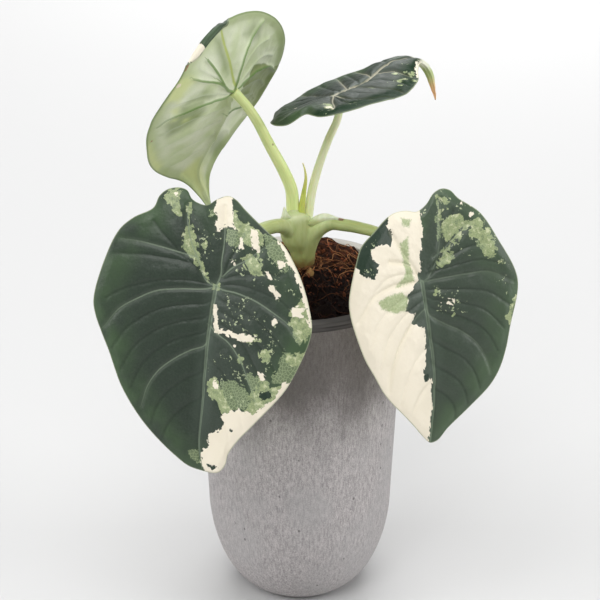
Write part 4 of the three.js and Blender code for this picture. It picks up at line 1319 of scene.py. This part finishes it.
# Lower left blade: the largest leaf. Its left half is whole green; the right half is flecked and
# patched, and ends in a cream wedge at the tip.
make_blade("lower_left", {
    "rib_tip": (0, 0), "rib_lobe": -0.28, "bend_tip": 2, "bend_lobe": (5, 0), "hook": 0, "hook_from": 0,
    "twist": 0, "fold": (20, 20), "arch": (-6, -6), "quilt": 0.95, "veined": 0.85, "sheen_grey": 0.035,
    "outline": [
        (-12.5, 41.2), (-6.6, 45), (-0.4, 47.3), (4.6, 46), (12, 41), (27, 31.6), (36, 26.8),
        (44, 18), (50, 9), (55, -2), (57.7, -11.4), (57, -20), (51, -38), (46.5, -47.3),
        (31.4, -67.5), (22.8, -78.4), (17.4, -87.6), (16.2, -93.6), (11.9, -99.3), (4, -101),
        (-4.9, -99.9), (-13.7, -94), (-32, -77), (-45, -59.3), (-53.2, -42.4), (-63, -24),
        (-65, -15.8), (-61, 6.5), (-55.6, 21.4), (-49, 28.5), (-39.6, 35), (-37.7, 41.5),
        (-34.2, 45.6), (-28.3, 47.7), (-24, 47), (-20.5, 43),
    ],
    "rib": [(0, 0), (-1.1, -22), (-1, -44), (-0.7, -65), (-0.7, -88), (1.6, -98)],
    "veins": [
        [(0, 0), (-5, -1.8), (-19.5, -3.8), (-31, -6.4), (-41, -12), (-50, -18.6), (-58, -30)],
        [(-1.2, -27), (-2.2, -31.6), (-9.7, -35.3), (-17.6, -40.6), (-25.5, -48), (-30.7, -57),
         (-33.6, -69)],
        [(0, 0), (-5.7, 2.3), (-11.3, 11.8), (-17.3, 22.4), (-20.8, 32.2), (-22, 40)],
        [(-12.7, 13.7), (-20, 14.6), (-33, 16.3), (-44, 17.2), (-54, 17)],
        [(0, 0), (2, 7.5), (1.6, 13.8), (1.6, 24.8), (-1, 42)],
        [(2.7, 5.7), (9.3, 11.8), (17, 16.6), (24.5, 22.7), (29.6, 27)],
        [(0, 0), (3.6, -1), (13.5, -1.3), (26, -3.7), (37, -8), (45.5, -12.4), (52, -19)],
        [(-1.2, -21), (4.2, -24.5), (12.3, -28.2), (21, -37), (25.6, -45.4), (30, -52.7), (33.2, -60.6)],
    ],
    "guides": [
        [(-0.7, -74), (-6, -78), (-12, -86), (-15, -93)],
        [(-0.7, -70), (5, -76), (10, -84), (11, -92)],
        [(0, 0), (-8, 5), (-20, 6), (-38, 5), (-58, 2)],
    ],
    "panels": [(0, 1, 3), (1, 8, 2), (3, 10, 1), (10, 0, 1), (2, 3, 1), (6, 7, 3), (7, 9, 2), (5, 6, 2),
        (4, 5, 1)],
    "mid": [
        [(2.5, 31), (3.2, 25), (5, 22.5), (9, 22), (12.5, 24), (13, 29), (9, 31)],
        [(25, 31), (30, 30), (37, 26), (42.5, 19), (40, 14), (35, 16), (30, 20), (27, 24)],
        [(9.9, -48.7), (18, -46), (25, -49), (28.2, -51), (28.4, -57), (26.2, -60.6), (18.2, -63),
         (12.4, -57.3)],
        [(23.6, -40.8), (28.6, -40.6), (39, -42.3), (39.4, -46.7), (28, -50)],
        [(-5.8, -90), (-0.4, -89), (0, -96), (-4.4, -96)],
        [(28, -50), (31, -57), (33, -62), (29, -61), (27, -56)],
        [(-9.5, 40), (-6, 40), (-5, 37), (-9, 36)],
        [(46, -8), (55, -6), (57, -15), (53, -22), (48, -18)],
        [(44, -26.8), (56, -25), (54, -36), (49, -42), (38, -43.6), (43, -35)],
    ],
    "speckled": [
        [(4, -4), (20, -3), (36, -8), (46, -14), (50, -26), (40, -38), (30, -34), (14, -22), (5, -16)],
        [(10, 24), (30, 26), (46, 14), (52, 2), (46, -4), (30, 4), (12, 8), (3, 14)],
        [(-9, 38), (-2, 34), (-1, 20), (-6, 12), (-16, 24), (-22, 36)],
        [(2, -34), (24, -34), (36, -46), (26, -62), (8, -60), (1, -46)],
    ],
    "light": [
        [(5, 40.4), (8, 39.4), (11.3, 35.5), (18.5, 33.3), (24, 30), (26, 25), (22.5, 23.8), (15.2, 23.9),
         (10.5, 27), (7.2, 32.7)],
        [(13.6, 17.6), (17, 20), (23, 19.4), (27.6, 16), (26.6, 11), (22, 9.6), (17.4, 12.4)],
        [(27, -50), (34, -47), (41, -44.6), (47, -42), (44, -51), (37, -58), (31, -64), (25, -63),
         (28, -56)],
        [(47, -27), (56, -25), (55, -33), (48, -31)],
        [(45.8, -4.5), (50.7, 2.2), (54.5, -1), (58, -13), (53.5, -21), (49.3, -17), (44.8, -11)],
        [(30.5, -27.2), (38, -26.8), (37.5, -32), (32.3, -32)],
        [(2.5, -48.2), (8.7, -48.2), (10.8, -53), (18, -62.6), (14, -67.4), (9, -61.7), (2.3, -57)],
        [(-37.2, 41.2), (-34.2, 42.2), (-32.5, 45.7), (-25.2, 48), (-24.4, 46.2), (-27.4, 43), (-25, 37),
         (-24.5, 33.3), (-27.6, 32.8), (-32.5, 38.4)],
        [(-22.5, 41.5), (-21, 41.4), (-19, 30.6), (-15, 23.6), (-12.4, 16), (-8.4, 10.6), (-4, 3),
         (-1, 0.5),
         (-6, 4), (-13, 11.6), (-17.3, 14), (-20.8, 18), (-21.7, 23), (-20.5, 28.6), (-21.4, 33.5)],
        [(-10.8, 22.4), (-8.6, 21.3), (-8.6, 18.6), (-10, 19.4)],
        [(21.9, -25.7), (32, -24), (32, -21), (26, -20.6)],
        [(33, -42), (38, -42.6), (40, -46.4), (37, -49), (32, -47)],
        [(-2, 1.6), (1.6, 1.6), (2, -1.6), (-1.8, -1.6)],
        [(19, -32.5), (23, -34), (22, -38), (17.5, -37)],
    ],
    "cream": [
        [(-7.3, 46), (0.5, 48.5), (3, 45), (4.6, 39.6), (5.4, 34), (7.9, 31.2), (4.4, 31.6), (1, 32),
         (-2, 29.7),
         (-2.5, 26), (-4, 31.4), (-4.1, 36.2), (-7, 39), (-6, 41)],
        [(17.5, 32.5), (20.5, 31), (22.5, 26), (23, 22), (20, 22.5), (18, 27.6)],
        [(11, 27.5), (13.5, 27), (14.5, 22), (12.5, 21.5)],
        [(32.3, 29.5), (38, 27), (46, 18), (52, 8), (57, -4), (59, -12), (56.4, -11), (53, -1.6),
         (47.6, 9.4),
         (42.4, 17), (36, 24)],
        [(35, 18.2), (38.3, 18.7), (39, 15.3), (35.6, 14.8)],
        [(28, 12), (31.4, 12.6), (35, 7.7), (31.4, 8.6)],
        [(31.6, 6.6), (33.8, 7), (36.6, 3.6), (39, 1.4), (36.4, 0.6), (34.6, 2.6), (32.6, 3.8)],
        [(-0.1, -9.3), (2, -9.3), (4.4, -21.5), (9.4, -21.4), (14.7, -22.5), (24.3, -20.8), (30, -21.6),
         (30, -23.4),
         (21.9, -25.3), (10.4, -23.7), (5.3, -23.8), (2.3, -23.8)],
        [(46, -3), (51, -1.6), (52, -6.5), (47, -8)],
        [(5, -50), (8, -49), (8, -53), (5.5, -54)],
        [(17.6, -63.8), (21.7, -60.6), (30.3, -61.7), (36, -56), (41.5, -51.7), (45.8, -42.6), (52, -39),
         (50, -46), (43, -58), (32, -73), (24.5, -82), (19, -90), (18, -95), (13.5, -100), (9, -103),
         (4.4, -102),
         (1.6, -97), (0.8, -89.5), (7, -85.6), (5, -83.3), (4.6, -78.3), (10.8, -75.8), (14.9, -71),
         (11, -68)],
        [(31, -39), (35, -39.5), (37, -43), (33.5, -43)],
        [(-30.4, 44.6), (-28, 45), (-28.4, 42), (-30, 42.6)],
        round_patch(9.6, 13.4, 1.0),
        round_patch(38, -12, 1.3), round_patch(16, -29, 0.8),
    ],
    "island": [
        [(34, -49.5), (40, -48), (41, -51.6), (34.6, -53.4)],
        [(4.2, -95.5), (8, -95), (12, -95.6), (10.2, -97.8), (5.7, -98)],
        round_patch(19, -73, 0.7), round_patch(9.5, 27.5, 1.0),
    ],
})


# Lower right blade: half cream. Left of the midrib it is cream with mossy green patches and one
# dark one on the margin; the right half is dark, with light green on its lobe.
make_blade("lower_right", {
    "rib_tip": (0, 0), "rib_lobe": 0.12, "bend_tip": 2, "bend_lobe": (5, 0), "hook": 0, "hook_from": 0,
    "twist": 0, "fold": (20, 20), "arch": (-6, -6),
    "outline": [
        (3, 37.6), (9, 40.6), (14.3, 45.8), (19.2, 47.3), (23.4, 45.5), (26.5, 41), (37, 31.4),
        (45, 15.7), (52.5, -1), (53.3, -9), (47, -29.3), (43.5, -42), (39.7, -51.6),
        (34, -60.2), (17.6, -75), (9, -82.6), (2.7, -89.5), (-1.6, -90.2), (-6.3, -85.5),
        (-13.7, -76), (-30, -56), (-36, -44.4), (-41.7, -32.2), (-47, -9.6), (-46.7, -1),
        (-40, 16.8), (-36, 23.8), (-27.5, 30), (-14, 38), (-5, 38.9),
    ],
    "rib": [(0, 0), (1, -15.8), (1.8, -30), (2.6, -48), (1.5, -67), (-0.8, -82.5), (-1.6, -89)],
    "veins": [
        [(0, 0), (2.6, 0.1), (12.8, 0.8), (25, 1.1), (37.5, 0.5), (51, -6.5)],
        [(1.2, -14), (2.4, -18), (10.5, -24.2), (18.2, -28.7), (26, -35.3), (31.6, -44.3), (34.3, -54)],
        [(0, 0), (2.8, 1.1), (8.9, 9.2), (12.3, 18.6), (15.2, 33), (17, 42)],
        [(8.3, 12.3), (14.9, 16.3), (23, 22.8), (28, 27)],
        [(0, 0), (-10, 1), (-22, 1), (-33, -3), (-43, -14)],
        [(1.2, -14), (-8, -20), (-15, -26.5), (-21, -35), (-25.5, -44.4), (-28, -54)],
        [(0, 0), (-5, 9), (-11, 18), (-17, 29)],
        [(-5, 9), (-13, 12.4), (-20, 14)],
    ],
    "quilt": 1.2, "sheen_grey": 0.12, "veined": 0.35,
    "dips": [(9, -23.5, 5, 0.9), (17, -28.5, 5, 1.2), (24.5, -34, 5, 1.2), (30.6, -42.5, 5, 1.0),
        (25, 0, 5, 0.7),
             (36, -0.5, 5, 0.7)],
    "speckled": [
        [(3, 38), (9, 41), (14, 46), (19, 47), (24, 45), (27, 41), (37, 31), (45, 16), (52, 0), (46, 2),
         (38, 8),
         (28, 12), (16, 8), (8, 8), (14, 20), (13, 34)],
        [(40, 0), (53, -2), (53, -10), (48, -26), (42, -18)],
        [(5, -4), (20, -6), (24, -18), (10, -18), (4, -12)],
        [(-14.9, 40), (-18.7, 32.8), (-31.3, 22), (-31.5, 17.4), (-30.8, 7), (-39, 12), (-44, 16),
         (-40, 26), (-28, 34)],
    ],
    "guides": [
        [(1, -72), (5, -75), (7, -80), (6, -85)],
        [(0, -76), (-4, -78), (-8, -82)],
    ],
    "panels": [(0, 1, 3), (1, 8, 3), (3, 0, 2), (2, 3, 1), (4, 5, 2), (5, 9, 2), (7, 4, 1)],
    "mid": [
        [(12, 34), (15, 34), (15, 25), (12, 20)],
        [(34, 24), (38, 22), (36, 12), (32, 14)],
    ],
    "light": [
        [(15.4, 29.2), (21, 32.5), (27.4, 32.2), (28.1, 27.6), (25.3, 24.8), (21, 22.4), (17.3, 19),
         (15, 17.7),
         (14.8, 24.3)],
        [(9.9, 6.7), (16, 13.8), (23.5, 20.6), (30.9, 27), (29.8, 28.1), (21.4, 21.6), (14.2, 15.5),
         (8.9, 8.4)],
        [(31.4, 28.6), (35.6, 29.4), (38, 27), (37.4, 23.6), (41.4, 21.4), (39.4, 18), (43.2, 14.8),
         (41.8, 8.8),
         (38.3, 8.4), (33.8, 9.6), (34.6, 14.4), (33.2, 18), (28, 20.6), (31.4, 24)],
        [(12.3, 10), (16, 14.4), (19.5, 13.8), (19.1, 10.5), (16, 8.4), (11.1, 6.7)],
        [(14.4, 44), (15.4, 44), (15.6, 30), (14.6, 30)],
        [(44.2, -24.7), (46.3, -19), (51, -15), (50, -22), (46, -28)],
        [(15, 42.6), (19.6, 42.4), (21, 40.2), (18.8, 39), (17.4, 41)],
        round_patch(7, -6, 1.6), round_patch(18.4, 35.4, 1.2),
        round_patch(44, 4, 1.0), round_patch(14.9, -19.6, 0.8),
    ],
    "cream": [
        [(4.4, 40), (4, 30), (-0.3, 10.6), (-2.2, 1), (-10.4, -4.6), (-13.4, -13), (-7.2, -15.3),
         (-8.6, -21),
         (-5.2, -24.7), (-2, -24.4), (-1.9, -34.7), (-4.4, -49.7), (0.6, -53.9), (1, -67.7),
         (-1.7, -77), (-2.9, -92),
         (-20, -92), (-60, -40), (-60, 20), (-30, 50), (4, 50)],
        [(13, -11), (16, -12), (15.4, -13.6), (12.4, -12.6)],
        round_patch(27.4, 38.2, 1.5), round_patch(32.1, 30.9, 1.4), round_patch(9.5, -12.5, 0.6),
        round_patch(33, 36, 0.9),
    ],
    "moss": [
        [(-9.5, 35.6), (-3, 33.8), (-5, 30), (-9.4, 31.4)],
        [(-12, 22.3), (-6.5, 25.4), (-7.3, 13.7), (-5, 1.4), (-18, -0.2), (-11, 6.4)],
        [(-30.2, -5), (-24.5, -3), (-14.6, -2.7), (-10.6, -6.6), (-13.4, -13), (-21, -13), (-28.8, -9)],
    ],
    "island": [
        [(-14.9, 40), (-18.7, 32.8), (-16.2, 27.6), (-18.7, 20.3), (-21.7, 23.6), (-31.3, 22),
         (-31.5, 17.4),
         (-28, 13), (-30.8, 7), (-34.8, 7.5), (-39, 12), (-44, 16), (-40, 26), (-28, 34)],
        [(-5.5, -50), (-2, -50), (-1, -54), (-4.5, -54)],
    ],
})


# Upper left blade: stands up with its back to the viewer, so the silvery underside shows, with
# raised green veins, deeper green where the light doesn't come through, and a rolled margin.
make_blade("upper_left", {
    "rib_tip": (0, 0), "rib_lobe": 0.26, "bend_tip": -1.5, "bend_lobe": (-9.3, 0), "hook": 28,
    "hook_from": 59, "twist": 10.1, "fold": (21.6, -14.8), "arch": (-3.8, 13.7), "quilt": 1.5,
    "outline": [
        (-0.2, -100), (-3.6, -90), (-7, -81), (-13.4, -74.1), (-24.2, -68.2), (-33, -60.6),
        (-39, -54), (-43.9, -47.7), (-49, -36.2), (-52.6, -26), (-54.8, -16), (-54, -5),
        (-50, 9), (-43.7, 21.3), (-35.9, 30.6), (-26.9, 38.4), (-16.2, 44.5), (-4.5, 49.2),
        (6.5, 52.3), (10.6, 53.4), (13.4, 53.8), (17, 55), (24, 54.4), (32.8, 51), (39.5, 44),
        (44.5, 33.7), (49.8, 22.9), (52.8, 9.4), (53, -6.5), (51.4, -19), (48.2, -30.7),
        (42, -47.6), (34.8, -59), (24.9, -67.8), (15.2, -74.9), (8.8, -82), (4, -90.4),
    ],
    "rib": [(0, 0), (-2, -23), (-2, -37), (-1, -48), (0.5, -61), (2, -70), (2, -79), (0, -88), (-0.8, -95)],
    "veins": [
        [(0, 0), (-2, 7), (-4, 16), (-8, 23), (-14, 27.5), (-21, 30), (-29, 30.5)],
        [(0, 0), (4.4, 3.2), (10.3, 10.9), (17, 17.8), (27, 24), (36, 30)],
        [(10.3, 10.9), (21, 29), (27, 38)],
        [(0, 0), (3, -1.4), (16.7, 3), (27.8, 5), (36, 3.5), (43.7, 1), (49, -7)],
        [(0, 0), (-14, -2), (-28, -6), (-42, -14), (-50, -24)],
        [(-2, -22), (-14, -28), (-27, -38), (-33, -50)],
    ],
    "guides": [
        [(2, -66), (10, -68), (17, -72)],
        [(1, -66), (-8, -68), (-14, -74)],
    ],
    "panels": [(3, 6, 4), (1, 3, 1), (1, 2, 1), (0, 4, 2), (4, 5, 2), (5, 7, 1)],
    "seam": [[(-1, 3), (4.8, 20), (9.8, 34.5), (12.8, 44.5), (13.4, 49)]],
    "roll": (82, 44, 3.4, 0.8),
    "mid": [
        [(-1, -40), (-5, -42), (-18, -58), (-22, -70), (-13, -73), (-5, -62)],
        [(-8, 34), (-20, 36), (-30, 28), (-26, 20), (-14, 26)],
        [(16, 6), (30, 9), (38, 8), (34, 14), (24, 15)],
        [(19, 46), (13.5, 43), (8.3, 28), (6.6, 16.7), (12, 22), (17, 35)],
        [(24, 8), (38, 8), (44, -8), (38, -22), (24, -16), (18, -6)],
    ],
    "light": [
        [(46, 33), (38.7, 32), (34.2, 27), (39, 20), (41.4, 13.7), (50, 16), (49, 26)],
        [(30, -56), (38, -44), (47, -28), (54, -20), (48, -36), (40, -52), (34, -60)],
        round_patch(41.6, 5.6, 1.6), round_patch(30.7, -8.5, 1.3), round_patch(39, -5, 1.1),
        [(2, -62), (8, -66), (14, -72), (6, -80), (2, -90), (-2, -90), (-1, -74)],
    ],
    "cream": [
        [(41, 43), (38, 47), (34, 50.5), (31, 47.5), (34, 43), (37, 40)],
        [(46, 31), (43, 28.4), (43.4, 26), (46.4, 27)],
    ],
    "brown": [
        [(37.6, 43.4), (40.2, 44), (43.6, 39), (43.8, 36.4), (41.2, 37.6)],
        round_patch(47, -24, 0.5),
    ],
    "island": [
        [(-20.6, -28), (-12.9, -4), (-22.9, 1.5), (-36.6, -8), (-47, -20), (-56, -22), (-54, -36),
         (-44, -52), (-38, -54)],
    ],
})


# Upper right blade: held almost level and seen along its edge. It is cupped, its tip hooks down
# into a thin drip tip that runs from white through green to orange.
make_blade("upper_right", {
    "rib_tip": (-4.7, -6.9), "rib_lobe": -0.18, "bend_tip": -3.9, "bend_lobe": (0.3, 8), "hook": 67,
    "hook_from": 61.5, "hook_for": 27,
    "dips": [(4, 40, 7, 1.4), (46, -14, 16, 2.6), (33, 18, 10, 1.2), (-4, -50, 11, -2.6)],
    "twist": 13, "fold": (-8.3, -15.8), "arch": (7.3, 5.2), "tail_from": 66, "crest": 0.9,
    "droop": 1.1, "quilt": 1.4, "fresh": 0.8,
    "outline": [
        (-5, 33), (-1, 37), (6, 39.6), (13, 38), (20, 33.4), (28, 25.6), (34.6, 14.2), (42.5, 0),
        (45.3, -12), (42.8, -28), (36, -37), (28.5, -48), (19, -56), (10, -62), (2, -67),
        (-3.5, -73), (-6.2, -80), (-8.7, -88), (-11.1, -96), (-12.9, -101.6), (-14, -95),
        (-13.6, -88), (-13.1, -80), (-13.7, -70), (-18, -58), (-26, -45.5), (-34.4, -25),
        (-39, -12), (-42, 4), (-38.5, 18), (-34, 30), (-28, 36), (-20, 38), (-12, 36),
    ],
    "rib": [(0, 0), (-1, -15), (-2, -30), (-2.5, -45), (-4, -56), (-7, -65), (-9.5, -74), (-10.5, -84),
        (-12.5, -96)],
    "veins": [
        [(0, 0), (19, -11), (32, -18), (43, -24)],
        [(-1, -12), (14, -28), (27, -40)],
        [(-1.5, -34), (8, -42), (22, -51)],
        [(0, 0), (-16, 4), (-30, 4), (-40, 0)],
        [(-1, -16), (-13, -22), (-26, -22), (-36, -16)],
        [(-2.5, -38), (-12, -45), (-22, -45)],
        [(0, 0), (6, 10), (10, 20), (12, 32)],
        [(0, 0), (-8, 12), (-16, 21), (-22, 31)],
    ],
    "guides": [
        [(-8, -62), (-4, -66), (0, -69)],
        [(-8, -60), (-14, -60), (-17, -58)],
    ],
    "panels": [(0, 1, 1), (1, 2, 1), (2, 8, 1), (3, 4, 1), (4, 5, 1), (6, 0, 2), (7, 3, 2)],
    "deep_shade": [
        [(-12, -64), (-22, -52), (-37, -25), (-43, 0), (-40, 18), (-34, 31), (-22, 40), (-10, 38),
         (-16, 27),
         (-24, 12), (-26, -8), (-22, -28), (-13, -48)],
    ],
    "light": [
        [(-9.4, 21), (-14.5, 20.3), (-21, 29), (-16, 29)],
        [(-19, -51), (-22, -49.4), (-22.4, -46), (-20, -47)],
        *(round_patch(*speck) for speck in [
            (-26, -41, 1.2), (-16, -47, 0.9), (-23, -37, 0.9), (-12.4, -19, 1.2), (-21, -35, 1.3),
            (-25, -28, 0.9), (-13, -42, 1.1)]),
    ],
    "cream": [
        [(-3, -72), (2, -66), (10, -61), (8, -66), (0, -73), (-6, -82), (-9, -90), (-14, -90),
         (-13, -78), (-9, -76)],
        [(-16, 24), (-19, 26), (-17.5, 28.5), (-15, 27)],
        [(-14, -72), (-13, -66), (-17.4, -56.5), (-24, -46), (-27, -45), (-19, -58), (-15, -68)],
        [(-3, -66), (3, -65), (11, -61), (19.5, -55.5), (18, -57.5), (10, -63.5), (2, -68.5), (-5, -74)],
        round_patch(14.9, 17, 0.8),
    ],
    "speckled": [
        [(-9, -46), (-13, -66), (-20, -60), (-32, -42), (-30, -22), (-18, -26)],
        [(-8, 14), (-12, 36), (-28, 36), (-38, 20), (-34, 8), (-20, 12)],
    ],
})


# New leaf: the next blade, still rolled up in a thin yellow-green spike between the upper stalks.
SPIKE_ROUTE = [(0.8, 7, 224), (1, 7.5, 234.8), (2.2, 8, 246), (3.4, 8, 255.7), (2.8, 8, 261), (1.7, 8, 264.7)]
SPIKE_RADII = [2.1, 2.1, 1.9, 1.25, 0.75, 0.3]
SPIKE_STEPS = 90
SPIKE_SIDES = 32


def spike_rings():
    """Rings along the spike with one shallow step in them that winds up it, where the blade's
    outer margin lies."""
    share = np.linspace(0, 1, SPIKE_STEPS)
    radius = np.interp(share, np.linspace(0, 1, len(SPIKE_RADII)), SPIKE_RADII)
    rings = carried_rings(smooth_line(SPIKE_ROUTE, SPIKE_STEPS), radius, SPIKE_SIDES)
    around = np.arange(SPIKE_SIDES) / SPIKE_SIDES
    lap = (around[None, :] - 0.9 * share[:, None] - 0.55) % 1
    middle = rings.mean(1, keepdims=True)
    return middle + (rings - middle) * (0.9 + 0.14 * lap[..., None])


def spike_skin():
    """Fresh yellow-green, lighter at the tip."""
    material, tree, shader, colour = stalk_skin(
        "new_leaf_skin", "d3d976", "aebd52", object_place, (700, 700, 40))
    height = part(tree, object_place(tree), 2)
    colour = mixed(tree, fade(tree, height, 0.250, 0.266), colour, "e3dc96")
    place_sockets(tree, shader, {"Base Color": colour})
    return material


spike = new_piece("new_leaf_roll", *skin(spike_rings()), spike_skin())
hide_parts("new_leaf")


# Cormel: a small pointed bulb with a papery tan skin, pushed up at the foot of the crown.
CORMEL_PLACE = (5.9, -2.2, 201.6)
CORMEL_RADIUS = 2.4
CORMEL_HEIGHT = 8.4
CORMEL_LEAN = math.radians(10)
CORMEL_STEPS = 26
CORMEL_SIDES = 36


def cormel_rings():
    """Rings of a pointed bulb, faintly ribbed, leaning towards the front."""
    share = np.linspace(0.02, 0.98, CORMEL_STEPS)
    radius = CORMEL_RADIUS * np.sin(np.pi * share) ** 0.7
    turn = 2 * np.pi * np.arange(CORMEL_SIDES) / CORMEL_SIDES
    ribbed = radius[:, None] * (1 + 0.03 * np.cos(9 * turn))
    level = np.broadcast_to(((share - 0.5) * CORMEL_HEIGHT)[:, None], ribbed.shape)
    x, y = ribbed * np.cos(turn), ribbed * np.sin(turn)
    lean_y = y * math.cos(CORMEL_LEAN) - level * math.sin(CORMEL_LEAN)
    lean_z = y * math.sin(CORMEL_LEAN) + level * math.cos(CORMEL_LEAN)
    return np.stack([x, lean_y, lean_z], -1) + np.array(CORMEL_PLACE)


cormel = new_piece("cormel_bulb", *skin(cormel_rings()), coir("cormel_skin", "96764c", "dcc898", 380))
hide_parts("cormel")
